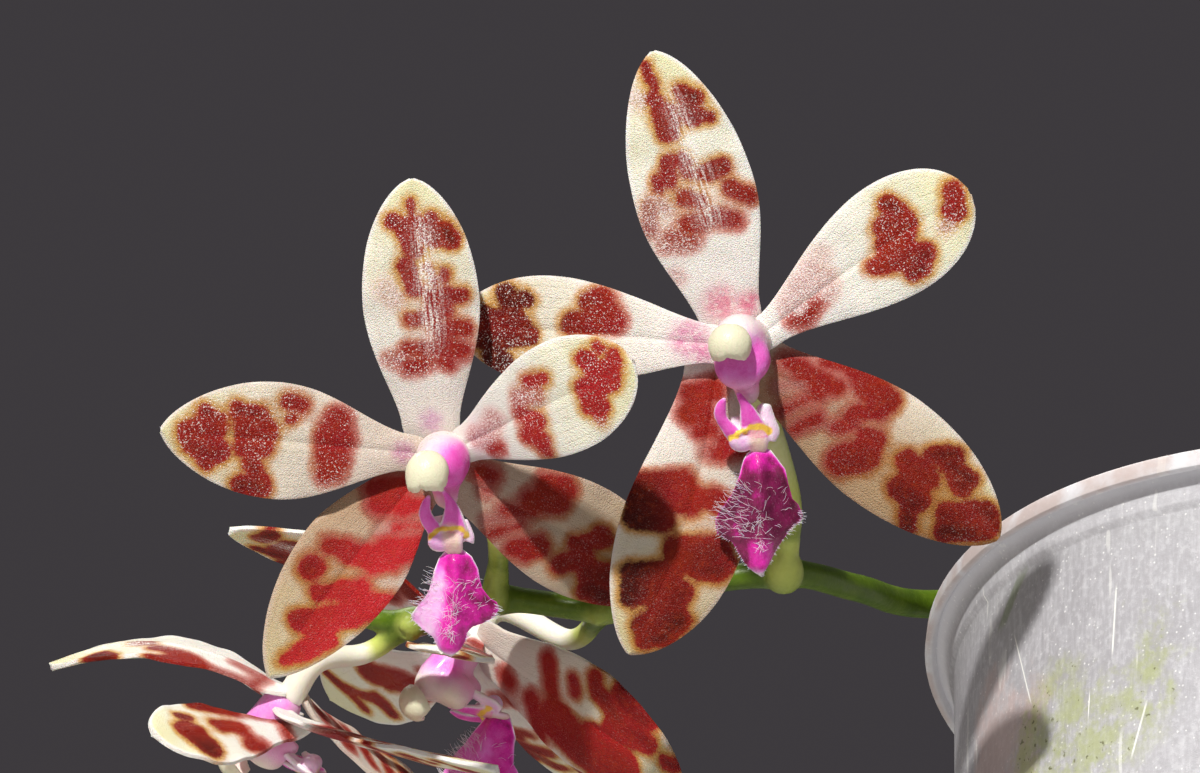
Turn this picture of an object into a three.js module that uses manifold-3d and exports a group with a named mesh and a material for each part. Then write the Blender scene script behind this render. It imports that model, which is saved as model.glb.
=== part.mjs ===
// Phalaenopsis mariae in a small clear plastic pot: the pot, the bark it is filled with, the short leafy stem, its
// leaves and roots, and one arching flower spike with four open blooms and a bud.
// Millimetres, +Z up, with the origin at the middle of the pot's underside. The blooms face -Y and hang out over -X.
import * as THREE from "three";
import { mergeVertices } from "three/addons/utils/BufferGeometryUtils.js";
import Module from "manifold-3d";

const wasm = await Module();
wasm.setup();

// Driving dimensions of the pot and its filling
const POT_HEIGHT = 78;
const RIM_RADIUS = 40;
const WALL_TOP_RADIUS = 37.2;
const SHOULDER_RADIUS = 37.9;
const BASE_RADIUS = 29;
const WALL = 0.9;
const BASE_THICKNESS = 1.4;
const BASE_CHAMFER = 1.6;
const RIM_THICKNESS = 0.9;
const RIM_TURN_DOWN = 0.5;
const SHOULDER_DEPTH = 5.5;
const POT_SIDES = 36;
const DRAIN_HOLES = 6;
const DRAIN_HOLE_RADIUS = 3;
const DRAIN_CIRCLE_RADIUS = 18;
const CLEARANCE = 0.4;
const BARK_TOP = POT_HEIGHT - 14;
const BARK_CHUNKS = 28;
const BARK_SEED = 41;

// Driving dimensions of the plant
const CROWN_RADIUS = 5.2;
const CROWN_BOTTOM = POT_HEIGHT - 26;
const CROWN_TOP = POT_HEIGHT + 11;
const LEAF_THICKNESS = 1.9;
const LEAF_EDGE = 0.9;
const TEPAL_THICKNESS = 0.95;
const BLADE_EDGE = 0.62;
const BLADE_END = 0.35;
const STEM_RADIUS = 1.05;
const PEDICEL_RADIUS = 0.9;
const OVARY_RADIUS = 1.15;

// How the spray of blooms is turned: its face looks forward and down by the nod, and leans by the tilt
const SPRAY_NOD = 30;
const SPRAY_TILT = 9;
const SPRAY_ORIGIN = [-69.5, -41.4, POT_HEIGHT - 8.2];

const COLOURS = {
  pot: { color: 0xd9dcdc, roughness: 0.35, metalness: 0, transparent: true, opacity: 0.55 },
  bark: { color: 0x6b4a31, roughness: 0.9, metalness: 0 },
  root: { color: 0x9fae8c, roughness: 0.7, metalness: 0 },
  leaf: { color: 0x4f7a2c, roughness: 0.4, metalness: 0 },
  stem: { color: 0x6d9a35, roughness: 0.5, metalness: 0 },
  tepal: { color: 0xeee6c8, roughness: 0.45, metalness: 0 },
  column: { color: 0xe9b9dc, roughness: 0.4, metalness: 0 },
  anther: { color: 0xf6efd0, roughness: 0.45, metalness: 0 },
  lip: { color: 0xb01a86, roughness: 0.45, metalness: 0 },
};

const vec = (x, y, z) => new THREE.Vector3(x, y, z);
const rad = THREE.MathUtils.degToRad;

// A repeatable run of numbers between 0 and 1
function randomFrom(seed) {
  let state = seed;
  return () => {
    state = (state * 1664525 + 1013904223) % 4294967296;
    return state / 4294967296;
  };
}

function bufferFrom(points, index) {
  const geometry = new THREE.BufferGeometry().setFromPoints(points);
  geometry.setIndex(index);
  return geometry;
}

// A closed skin over equal rings of points. Fan ends suit round sections. Strip ends suit blades, whose rings run
// along the front and back again, and whose two faces are split alike so that they never cross.
function skin(rings, ends) {
  const count = rings[0].length;
  const points = rings.flat();
  const index = [];
  const half = count / 2;
  for (let i = 0; i + 1 < rings.length; i++) {
    for (let j = 0; j < count; j++) {
      const k = (j + 1) % count;
      const [a, b, c, d] = [i * count + j, i * count + k, (i + 1) * count + k, (i + 1) * count + j];
      if (ends === "strip" && j >= half) index.push(a, b, d, b, c, d);
      else index.push(a, b, c, a, c, d);
    }
  }
  const last = (rings.length - 1) * count;
  if (ends === "strip") {
    for (let j = 0; j + 1 < half; j++) {
      const [a, b, c, d] = [j, j + 1, count - 2 - j, count - 1 - j];
      index.push(a, c, b, a, d, c);
      index.push(last + a, last + b, last + c, last + a, last + c, last + d);
    }
  } else {
    const middleOf = (ring) => ring.reduce((sum, p) => sum.add(p), vec(0, 0, 0)).divideScalar(count);
    points.push(middleOf(rings[0]), middleOf(rings.at(-1)));
    for (let j = 0; j < count; j++) {
      const k = (j + 1) % count;
      index.push(points.length - 2, k, j);
      index.push(points.length - 1, last + j, last + k);
    }
  }
  return bufferFrom(points, index);
}

function solidOf(geometry) {
  const bare = geometry.index ? geometry.toNonIndexed() : geometry.clone();
  bare.deleteAttribute("normal");
  bare.deleteAttribute("uv");
  const merged = mergeVertices(bare, 1e-4);
  const mesh = new wasm.Mesh({
    numProp: 3,
    vertProperties: merged.attributes.position.array,
    triVerts: new Uint32Array(merged.index.array),
  });
  return new wasm.Manifold(mesh);
}

function geometryOf(solid) {
  const { vertProperties, triVerts, numProp } = solid.getMesh();
  const geometry = new THREE.BufferGeometry();
  const positions = new Float32Array((vertProperties.length / numProp) * 3);
  for (let i = 0; i < positions.length / 3; i++)
    for (let k = 0; k < 3; k++) positions[3 * i + k] = vertProperties[numProp * i + k];
  geometry.setAttribute("position", new THREE.BufferAttribute(positions, 3));
  geometry.setIndex([...triVerts]);
  return geometry;
}

function joined(geometries) {
  return geometryOf(geometries.map(solidOf).reduce((all, one) => all.add(one)));
}

function cutBy(geometry, tools) {
  return geometryOf(tools.map(solidOf).reduce((left, tool) => left.subtract(tool), solidOf(geometry)));
}

function node(name, geometry, look) {
  const mesh = new THREE.Mesh(geometry, new THREE.MeshStandardMaterial(COLOURS[look]));
  mesh.name = name;
  return mesh;
}

// A round rod of changing radius along a curve, with sides turned so that it doesn't twist
function rod(curve, radiusAt, steps, sides) {
  const frames = curve.computeFrenetFrames(steps, false);
  const rings = [];
  for (let i = 0; i <= steps; i++) {
    const middle = curve.getPointAt(i / steps);
    const radius = radiusAt(i / steps);
    rings.push(
      Array.from({ length: sides }, (_, j) => {
        const turn = (2 * Math.PI * j) / sides;
        return middle
          .clone()
          .addScaledVector(frames.normals[i], radius * Math.cos(turn))
          .addScaledVector(frames.binormals[i], radius * Math.sin(turn));
      }),
    );
  }
  return skin(rings, "fan");
}

// The outline of a tepal or leaf: half its width at a share t of its length, as a share of its widest half
function outlineAt({ base, widest, tip }, t) {
  if (t < widest) return base + (1 - base) * Math.sin((Math.PI / 2) * (t / widest)) ** 1.4;
  return (1 - ((t - widest) / (1 - widest)) ** 2) ** tip;
}

// The line along the middle of a blade, with its width and face directions, found by short steps. Angles are in
// degrees: heading in the plane of the flower, lift out of it, and roll about the blade's own line.
function midribOf(spec, steps) {
  const { angle, lift = 0, curl = 0, sweep = 0, roll = 0, twist = 0, length, root } = spec;
  const shares = Array.from({ length: steps + 1 }, (_, i) => 1 - (1 - i / steps) ** 1.25);
  const place = vec(...root);
  return shares.map((t, i) => {
    const heading = rad(angle + sweep * (t - 0.5));
    const rise = rad(lift + curl * t);
    const along = vec(Math.cos(rise) * Math.cos(heading), Math.cos(rise) * Math.sin(heading), Math.sin(rise));
    if (i > 0) place.addScaledVector(along, (t - shares[i - 1]) * length);
    const side = vec(-Math.sin(heading), Math.cos(heading), 0);
    const face = along.clone().cross(side);
    const turn = rad(roll + twist * t);
    const turnedSide = side.clone().multiplyScalar(Math.cos(turn)).addScaledVector(face, Math.sin(turn));
    return { t, place: place.clone(), side: turnedSide, face: along.clone().cross(turnedSide) };
  });
}

// A thin blade: its section is cupped and folded along the middle, and its edges are thinner than its midrib
function blade(spec, thickness, edge, steps, across) {
  const { width, cup = 0, fold = 0, skew = 0 } = spec;
  const rings = midribOf(spec, steps).map(({ t, place, side, face }) => {
    const half = Math.max((width / 2) * outlineAt(spec, Math.min(t, 0.999)), BLADE_END);
    const front = [];
    const back = [];
    for (let j = 0; j <= across; j++) {
      const v = (2 * j) / across - 1;
      const reach = v * half * (1 + skew * Math.sign(v) * Math.sin(Math.PI * t));
      const height = half * (cup * v * v + fold * Math.abs(v));
      const middle = place.clone().addScaledVector(side, reach).addScaledVector(face, height);
      const thick = (thickness + (edge - thickness) * v * v) / 2;
      front.push(middle.clone().addScaledVector(face, thick));
      back.unshift(middle.clone().addScaledVector(face, -thick));
    }
    return [...front.reverse(), ...back.reverse()];
  });
  return skin(rings, "strip");
}

// The pot, as one turned shell with drain holes
function wallRadiusAt(z) {
  return BASE_RADIUS + ((WALL_TOP_RADIUS - BASE_RADIUS) * z) / (POT_HEIGHT - SHOULDER_DEPTH);
}

function potGeometry() {
  const shoulder = POT_HEIGHT - SHOULDER_DEPTH;
  const underRim = POT_HEIGHT - RIM_THICKNESS;
  const profile = [
    [0, 0],
    [BASE_RADIUS - BASE_CHAMFER, 0],
    [wallRadiusAt(BASE_CHAMFER), BASE_CHAMFER],
    [WALL_TOP_RADIUS, shoulder],
    [SHOULDER_RADIUS, shoulder + 1],
    [SHOULDER_RADIUS, underRim],
    [RIM_RADIUS - 0.7, underRim],
    [RIM_RADIUS - 0.7, underRim - RIM_TURN_DOWN],
    [RIM_RADIUS, underRim - RIM_TURN_DOWN],
    [RIM_RADIUS, POT_HEIGHT - 0.3],
    [RIM_RADIUS - 0.4, POT_HEIGHT],
    [SHOULDER_RADIUS - WALL, POT_HEIGHT],
    [SHOULDER_RADIUS - WALL, shoulder + 1],
    [WALL_TOP_RADIUS - WALL, shoulder - 0.4],
    [wallRadiusAt(BASE_CHAMFER) - WALL, BASE_CHAMFER + 0.4],
    [BASE_RADIUS - BASE_CHAMFER - WALL, BASE_THICKNESS],
    [0, BASE_THICKNESS],
  ];
  const shell = new THREE.LatheGeometry(
    profile.map(([r, z]) => new THREE.Vector2(r, z)),
    POT_SIDES,
  ).rotateX(Math.PI / 2);
  const holes = Array.from({ length: DRAIN_HOLES }, (_, i) => {
    const turn = (2 * Math.PI * (i + 0.5)) / DRAIN_HOLES;
    return new THREE.CylinderGeometry(DRAIN_HOLE_RADIUS, DRAIN_HOLE_RADIUS, 8, 12)
      .rotateX(Math.PI / 2)
      .translate(DRAIN_CIRCLE_RADIUS * Math.cos(turn), DRAIN_CIRCLE_RADIUS * Math.sin(turn), 0);
  });
  return cutBy(shell, holes);
}

// The bark: a plug that fills the pot, with chunks of bark standing out of its top
function barkGeometry() {
  const inner = (z) => wallRadiusAt(z) * Math.cos(Math.PI / POT_SIDES) - WALL - CLEARANCE;
  const bottom = BASE_THICKNESS + CLEARANCE;
  const profile = [
    [0, bottom],
    [inner(bottom) - 1.6, bottom],
    [inner(bottom + 2), bottom + 2],
    [inner(BARK_TOP - 3), BARK_TOP - 3],
    [inner(BARK_TOP) - 2.5, BARK_TOP],
    [0, BARK_TOP + 1.5],
  ];
  const plug = new THREE.LatheGeometry(
    profile.map(([r, z]) => new THREE.Vector2(r, z)),
    22,
  ).rotateX(Math.PI / 2);
  const random = randomFrom(BARK_SEED);
  const chunks = [];
  for (let i = 0; i < BARK_CHUNKS; i++) {
    const spread = Math.sqrt((i + 0.5) / BARK_CHUNKS);
    const turn = i * 2.39996;
    const size = 7 + 4 * random();
    const chunk = new THREE.BoxGeometry(size, size * (0.5 + 0.2 * random()), size * 0.45);
    chunk.rotateX(0.7 * (random() - 0.5)).rotateY(0.7 * (random() - 0.5)).rotateZ(6.3 * random());
    const reach = spread * (inner(BARK_TOP) - size * 0.62 - 0.5);
    chunks.push(chunk.translate(reach * Math.cos(turn), reach * Math.sin(turn), BARK_TOP + 0.8 + random()));
  }
  return joined([plug, ...chunks]);
}

// The crown: the short upright stem that the leaves and roots grow from
function crownCurve() {
  return new THREE.LineCurve3(vec(0, 0, CROWN_BOTTOM), vec(0, 0, CROWN_TOP));
}

const crownRadiusAt = (t) => CROWN_RADIUS * (0.55 + 0.45 * Math.min(1, 3 * t) - 0.45 * Math.max(0, t - 0.6) ** 1.2);

// Leaves stand in two ranks, to the front and to the back, clear of the spike's side
const LEAVES = [
  { turn: -77, height: -1.5, length: 116, width: 43, lift: 20, curl: -62, fold: 0.28 },
  { turn: 97, height: 0, length: 126, width: 47, lift: 26, curl: -66, fold: 0.26 },
  { turn: -83, height: 2.8, length: 134, width: 49, lift: 36, curl: -78, fold: 0.24 },
  { turn: 88, height: 5.2, length: 118, width: 46, lift: 44, curl: -76, fold: 0.26 },
  { turn: -74, height: 7.6, length: 62, width: 25, lift: 64, curl: -34, fold: 0.32 },
];

function leafGeometry(leaf) {
  const share = (POT_HEIGHT + leaf.height - CROWN_BOTTOM) / (CROWN_TOP - CROWN_BOTTOM);
  const start = crownRadiusAt(share) + 0.4 + (LEAF_THICKNESS / 2) * Math.sin(rad(leaf.lift));
  const spec = { angle: 0, base: 0.26, widest: 0.58, tip: 0.62, cup: 0.1, ...leaf, root: [start, 0, 0] };
  return blade(spec, LEAF_THICKNESS, LEAF_EDGE, 12, 4)
    .rotateZ(rad(leaf.turn))
    .translate(0, 0, POT_HEIGHT + leaf.height);
}

// Roots leave the foot of the crown. Each goes over the bark and down into it, and one hangs over the rim.
const ROOT_FOOT = BARK_TOP + 4.5;
const ROOT_WOBBLE = 1.6;
const ROOTS = [
  { turn: 24, points: [[16, 6], [24, 3.5], [29, -8], [29.5, -24]], radius: 2.1 },
  { turn: 140, points: [[15, 5], [22, 1.5], [26, -10], [27, -20]], radius: 2.3 },
  { turn: -32, points: [[15, 6.5], [25, 12.4], [36, 14.6], [44.2, 10.5], [46, -3], [44, -20]], radius: 2.2 },
  { turn: -128, points: [[14, 4], [20, 0], [23.5, -12], [24, -22]], radius: 1.9 },
];

function rootCurve({ turn, points, radius }, longer) {
  const tilt = Math.atan2(points[0][1], points[0][0] - CROWN_RADIUS);
  const start = CROWN_RADIUS + CLEARANCE + radius * Math.sin(tilt);
  const shape = [[start - longer, 0], ...points].map(([out, up], i) => vec(out, ROOT_WOBBLE * Math.sin(2.1 * i), up));
  shape.at(-1).z -= longer;
  const turned = shape.map((p) => p.applyAxisAngle(vec(0, 0, 1), rad(turn)).add(vec(0, 0, ROOT_FOOT)));
  return new THREE.CatmullRomCurve3(turned, false, "centripetal");
}

function rootGeometry(root, extra = 0) {
  return rod(rootCurve(root, extra), (t) => root.radius * (0.92 + 0.08 * Math.cos(6 * t)) + extra, 15, 6);
}

// The spray: a frame whose X runs across it, Y up its face and Z out towards whoever looks at the blooms
const spray = new THREE.Group();
{
  const level = vec(1, 0, 0);
  const faceUp = vec(0, -Math.sin(rad(SPRAY_NOD)), Math.cos(rad(SPRAY_NOD)));
  const out = vec(0, -Math.cos(rad(SPRAY_NOD)), -Math.sin(rad(SPRAY_NOD)));
  const across = level.clone().multiplyScalar(Math.cos(rad(SPRAY_TILT))).addScaledVector(faceUp, Math.sin(rad(SPRAY_TILT)));
  const up = level.clone().multiplyScalar(-Math.sin(rad(SPRAY_TILT))).addScaledVector(faceUp, Math.cos(rad(SPRAY_TILT)));
  spray.quaternion.setFromRotationMatrix(new THREE.Matrix4().makeBasis(across, up, out));
  spray.position.set(...SPRAY_ORIGIN);
  spray.updateMatrixWorld(true);
}

// Blooms, numbered from the pot outwards. Place is in the spray's frame, face is where the bloom looks and crest is
// where its dorsal sepal stands. Lean is how far the column's tip leans across and up, foot is where the column meets
// the lip. The lip's middle lobe has its blade's length, how far it stands forward, and its turn. Petals spring from in front of the sepals.
const SEPAL_Z = -0.45;
const PETAL_Z = 0.75;
const BLOOMS = [
  {
    place: [10.65, 3.1, 0],
    face: [0, 0, 1],
    crest: [0, 1, 0],
    lean: [-0.7, 0.3],
    foot: [0.45, -4.2, 1.9],
    blade: 9.4,
    bladeLift: 12,
    bladeRoll: 0,
    detail: [10, 4],
    tepals: {
      sepal_dorsal: {
        root: [-0.95, 2.5, SEPAL_Z], angle: 106.5, length: 20.4, width: 9.1, base: 0.52, widest: 0.45, tip: 0.66,
        lift: 14, curl: -6, cup: 0.05,
      },
      petal_right: {
        root: [2.2, 1.3, PETAL_Z], angle: 35, length: 18.0, width: 8.7, base: 0.3, widest: 0.66, tip: 0.5,
        lift: 14, curl: -8, sweep: -8, cup: 0.06,
      },
      petal_left: {
        root: [-2.5, 0.1, PETAL_Z], angle: 175, length: 19.4, width: 8.1, base: 0.36, widest: 0.62, tip: 0.6,
        lift: -2, curl: -12, cup: 0.06,
      },
      sepal_left: {
        root: [-2.0, -2.2, SEPAL_Z], angle: -106, length: 22.2, width: 9.5, base: 0.5, widest: 0.55, tip: 0.68,
        lift: 4, curl: -6, sweep: -24, cup: 0.05, fold: 0.05,
      },
      sepal_right: {
        root: [2.1, -1.9, SEPAL_Z], angle: -36, length: 21.3, width: 8.9, base: 0.5, widest: 0.5, tip: 0.64,
        lift: 10, curl: -8, sweep: -8, cup: -0.04, fold: -0.08,
      },
    },
  },
  {
    place: [-10.9, -21.3, -34.5],
    face: [-0.55, -0.72, 0.42],
    crest: [-0.8, 0.6, -0.02],
    lean: [-0.2, 0.4],
    foot: [-0.9, -2.2, 1.8],
    blade: 10.4,
    bladeLift: 82,
    bladeRoll: -40,
    detail: [9, 4],
    tepals: {
      sepal_dorsal: {
        root: [0, 2.5, SEPAL_Z], angle: 90, length: 18.8, width: 9, base: 0.5, widest: 0.48, tip: 0.64,
        lift: -3, curl: 38, cup: 0.06,
      },
      petal_right: {
        root: [2.8, -0.1, PETAL_Z], angle: 5, length: 15.4, width: 7, base: 0.34, widest: 0.62, tip: 0.6,
        lift: 32, curl: -6, roll: 24, cup: 0.08,
      },
      petal_left: {
        root: [-2.6, 0.6, PETAL_Z], angle: 160, length: 18, width: 8.4, base: 0.34, widest: 0.6, tip: 0.6,
        lift: 12, curl: -8, cup: 0.06,
      },
      sepal_right: {
        root: [2.4, -2.1, SEPAL_Z], angle: -60, length: 20.6, width: 9.8, base: 0.5, widest: 0.5, tip: 0.62,
        lift: 10, curl: 6, roll: -30, cup: 0.05,
      },
      sepal_left: {
        root: [-2.1, -2.1, SEPAL_Z], angle: -126, length: 20.6, width: 9.4, base: 0.5, widest: 0.5, tip: 0.66,
        lift: 0, curl: -6, cup: 0.05,
      },
    },
  },
  {
    place: [-12.2, -4.9, 0],
    face: [0, 0, 1],
    crest: [0, 1, 0],
    lean: [-0.9, -1.7],
    foot: [0.35, -4.4, 1.9],
    blade: 7.9,
    bladeLift: 12,
    bladeRoll: 0,
    detail: [10, 4],
    tepals: {
      sepal_dorsal: {
        root: [-0.5, 2.4, SEPAL_Z], angle: 94.3, length: 18.3, width: 8.7, base: 0.5, widest: 0.5, tip: 0.6,
        lift: 18, curl: -8, cup: 0.05,
      },
      petal_right: {
        root: [2.4, 0.7, PETAL_Z], angle: 26, length: 17, width: 8.4, base: 0.34, widest: 0.64, tip: 0.5,
        lift: 54, curl: -32, cup: 0.05,
      },
      petal_left: {
        root: [-2.6, 0, PETAL_Z], angle: 174.7, length: 18.2, width: 8.7, base: 0.32, widest: 0.52, tip: 0.7,
        lift: 12, curl: -4, cup: 0.06,
      },
      sepal_left: {
        root: [-1.9, -2.5, SEPAL_Z], angle: -127, length: 17.9, width: 8.2, base: 0.55, widest: 0.42, tip: 0.74,
        lift: 10, curl: -2, sweep: 6, cup: 0.05,
      },
      sepal_right: {
        root: [2.2, -2.2, SEPAL_Z], angle: -28, length: 19.4, width: 8.7, base: 0.5, widest: 0.5, tip: 0.68,
        lift: -14, curl: -10, cup: 0.04,
      },
    },
  },
  {
    place: [-25.1, -25.3, -26],
    face: [-0.58, -0.78, -0.22],
    crest: [-0.79, 0.61, -0.08],
    lean: [0, 0.3],
    foot: [0, -2.3, 1.8],
    blade: 10.4,
    bladeLift: 70,
    bladeRoll: -30,
    detail: [9, 4],
    tepals: {
      sepal_dorsal: {
        root: [0, 2.5, SEPAL_Z], angle: 90, length: 17.9, width: 8.8, base: 0.5, widest: 0.48, tip: 0.64,
        lift: 2, curl: 58, cup: 0.06,
      },
      petal_right: {
        root: [3.0, -1.3, PETAL_Z], angle: 34, length: 12.9, width: 7.4, base: 0.34, widest: 0.6, tip: 0.6,
        lift: 16, curl: 2, cup: 0.1,
      },
      petal_left: {
        root: [-2.6, 0.6, PETAL_Z], angle: 162, length: 17.5, width: 8.4, base: 0.34, widest: 0.6, tip: 0.6,
        lift: 16, curl: 4, cup: 0.1,
      },
      sepal_right: {
        root: [2.1, -2.3, SEPAL_Z], angle: -56, length: 20.5, width: 9, base: 0.5, widest: 0.5, tip: 0.66,
        lift: -24, curl: 0, cup: 0.05,
      },
      sepal_left: {
        root: [-2.1, -2.1, SEPAL_Z], angle: -128, length: 20.5, width: 9, base: 0.5, widest: 0.5, tip: 0.66,
        lift: 15, curl: -4, cup: 0.05,
      },
    },
  },
];

// The column, in a bloom's own frame: it stands out of the face, and its foot reaches down to the lip
const COLUMN_LENGTH = 6.6;
const COLUMN_RADIUS = 1.7;
const COLUMN_BACK = -0.4;

function columnGeometry({ lean: [leanX, leanY], foot }) {
  const spine = new THREE.QuadraticBezierCurve3(
    vec(0, 0.2, COLUMN_BACK),
    vec(0, 0.6, COLUMN_LENGTH * 0.65),
    vec(leanX, leanY, COLUMN_LENGTH),
  );
  const toLip = new THREE.QuadraticBezierCurve3(
    vec(0, -0.4, 1.5),
    vec(foot[0] / 2, foot[1] * 0.55, foot[2] + 0.4),
    vec(...foot),
  );
  return joined([
    rod(spine, (t) => COLUMN_RADIUS * (1.1 - 0.32 * Math.sin(Math.PI * t) + 0.06 * t), 5, 8),
    rod(toLip, (t) => 1.3 - 0.4 * t, 3, 6),
  ]);
}

// The anther cap: a small hood over the column's tip, seated 0.3 mm in front of it
function antherGeometry({ lean: [leanX, leanY] }) {
  const cap = new THREE.SphereGeometry(1, 8, 6);
  cap.scale(1.5, 1.75, 1.25).translate(0, 0, 0.25);
  const cut = new THREE.BoxGeometry(8, 8, 4).translate(0, 0, -2);
  const hood = cutBy(cap, [cut]);
  const out = vec(leanX, leanY - 0.6, COLUMN_LENGTH * 0.35).normalize();
  hood.applyQuaternion(new THREE.Quaternion().setFromUnitVectors(vec(0, 0, 1), out));
  const seat = vec(leanX, leanY, COLUMN_LENGTH).addScaledVector(out, 0.32);
  return hood.translate(seat.x, seat.y, seat.z);
}

// The lip, grown as one: a narrow base with its callus, two upright side lobes that end in pointed horns, and the
// middle lobe, which is narrow at its neck, widest past its middle, pointed, and arched over a keel
function lipGeometry({ foot, blade: bladeLength, bladeLift, bladeRoll }) {
  const lobe = (hand) => {
    const spec = {
      root: [hand * 0.6, -0.7, 0], angle: 90 - hand * 26, sweep: hand * 46, length: 5.2, width: 2.9,
      base: 0.75, widest: 0.3, tip: 0.95, lift: 42, curl: 10, roll: -hand * 34, cup: 0.22,
    };
    return blade(spec, 0.8, BLADE_EDGE, 5, 2);
  };
  const seat = new THREE.SphereGeometry(1, 8, 5).scale(1.7, 1.2, 0.85);
  const middle = {
    root: [0.35, -0.5, 0.1], angle: -88, length: bladeLength + 1.2, width: 6.6,
    base: 0.3, widest: 0.56, tip: 1.0, lift: bladeLift, curl: -26, roll: bladeRoll, cup: -0.1, fold: -0.3,
  };
  const parts = [lobe(1), lobe(-1), seat, blade(middle, 0.95, BLADE_EDGE, 8, 4)];
  return joined(parts).translate(foot[0] + 0.15, foot[1] - 2.15, foot[2] + 0.3);
}

function bloomGroup(bloom, number) {
  const group = new THREE.Group();
  const name = `bloom_${number}`;
  const face = vec(...bloom.face).normalize();
  const across = vec(...bloom.crest).cross(face).normalize();
  const crest = face.clone().cross(across);
  group.quaternion.setFromRotationMatrix(new THREE.Matrix4().makeBasis(across, crest, face));
  group.position.set(...bloom.place);
  for (const [tepal, spec] of Object.entries(bloom.tepals))
    group.add(node(`${name}_${tepal}`, blade(spec, TEPAL_THICKNESS, BLADE_EDGE, ...bloom.detail), "tepal"));
  group.add(node(`${name}_column`, columnGeometry(bloom), "column"));
  group.add(node(`${name}_anther_cap`, antherGeometry(bloom), "anther"));
  group.add(node(`${name}_lip`, lipGeometry(bloom), "lip"));
  return group;
}

// The spike's line in the spray's frame: from the crown, out over the rim, and along the row of blooms
const inSpray = (x, y, z) => spray.worldToLocal(vec(x, y, z));
const NODES = [vec(14.4, -14.7, -22), vec(0.4, -17.5, -24), vec(-8.3, -16.9, -25), vec(-14.8, -18.7, -26)];
const SPIKE_POINTS = [
  inSpray(-CROWN_RADIUS - 0.9, 0, POT_HEIGHT - 4),
  inSpray(-15, 4, POT_HEIGHT + 3.5),
  inSpray(-27, 7.5, POT_HEIGHT + 7.5),
  vec(27.4, -18.1, -49),
  vec(20.6, -16.2, -33),
  NODES[0],
  vec(7.9, -15.4, -22),
  ...NODES.slice(1),
  vec(-18, -18.5, -27.4),
  vec(-20.3, -17.4, -28),
];
const spikeCurve = new THREE.CatmullRomCurve3(SPIKE_POINTS, false, "centripetal");

// Pedicels join a node of the spike's line to the back of each bloom, bowed by way of a middle point
const BOWS = [vec(15.6, -9, -15), vec(-2.4, -20.3, -31), vec(-8.1, -11.4, -18), vec(-18.6, -21.2, -27.5)];
const OVARY_BEHIND = 0.75;
const OVARY_STRAIGHT = 4.5;

function pedicelCurve(bloom, i) {
  const face = vec(...bloom.face).normalize();
  const end = vec(...bloom.place).addScaledVector(face, -OVARY_BEHIND);
  const before = vec(...bloom.place).addScaledVector(face, -OVARY_STRAIGHT);
  return new THREE.CatmullRomCurve3([NODES[i], BOWS[i], before, end], false, "centripetal");
}

function bractGeometry(at, way) {
  const scale = new THREE.ConeGeometry(1.5, 3.4, 6).scale(1, 1, 0.55).translate(0, 1.2, 0);
  scale.applyQuaternion(new THREE.Quaternion().setFromUnitVectors(vec(0, 1, 0), way.normalize()));
  return scale.translate(at.x, at.y, at.z);
}

function spikeGeometry() {
  const swell = (t) => 1.25 - 0.25 * Math.min(1, 6 * t);
  const radiusAt = (t) => PEDICEL_RADIUS * swell(t) + (OVARY_RADIUS - PEDICEL_RADIUS) * t ** 2;
  const stalks = BLOOMS.map((bloom, i) => rod(pedicelCurve(bloom, i), radiusAt, 7, 6));
  const bracts = NODES.map((at, i) => bractGeometry(at, BOWS[i].clone().sub(at).add(vec(3, 1, 0))));
  const main = rod(spikeCurve, (t) => STEM_RADIUS * (1.3 - 0.4 * t), 32, 7);
  return joined([main, ...stalks, ...bracts]);
}

// The bud at the spike's end
const BUD_SIZE = [1.5, 2.1, 1.4];

function budGeometry() {
  const tip = spikeCurve.getPointAt(1);
  const way = spikeCurve.getTangentAt(1);
  const bud = new THREE.SphereGeometry(1, 9, 7).scale(...BUD_SIZE);
  bud.applyQuaternion(new THREE.Quaternion().setFromUnitVectors(vec(0, 1, 0), way));
  const seat = tip.addScaledVector(way, BUD_SIZE[1] + 0.32);
  return bud.translate(seat.x, seat.y, seat.z);
}

const plant = new THREE.Group();
plant.name = "potted_orchid";
plant.add(node("pot", potGeometry(), "pot"));
const crownHole = new THREE.CylinderGeometry(CROWN_RADIUS + 0.6, CROWN_RADIUS + 0.6, 60, 12)
  .rotateX(Math.PI / 2)
  .translate(0, 0, CROWN_BOTTOM - 0.4 + 30);
plant.add(node("bark", cutBy(barkGeometry(), [crownHole, ...ROOTS.map((root) => rootGeometry(root, 0.4))]), "bark"));
plant.add(node("crown", rod(crownCurve(), crownRadiusAt, 10, 10), "stem"));
LEAVES.forEach((leaf, i) => plant.add(node(`leaf_${i + 1}`, leafGeometry(leaf), "leaf")));
ROOTS.forEach((root, i) => plant.add(node(`root_${i + 1}`, rootGeometry(root), "root")));
plant.add(spray);
spray.add(node("flower_spike", spikeGeometry(), "stem"));
spray.add(node("bud", budGeometry(), "stem"));
BLOOMS.forEach((bloom, i) => spray.add(bloomGroup(bloom, i + 1)));

export default plant;
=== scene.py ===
# A flowering Phalaenopsis mariae in a small frosted plastic pot, dressed over its CAD frame.
# Numbers are in millimetres unless a name or a comment says otherwise, and MM turns them into metres.
import math
import random
import bpy
import numpy as np
from mathutils import Matrix, Vector, kdtree, noise


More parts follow.
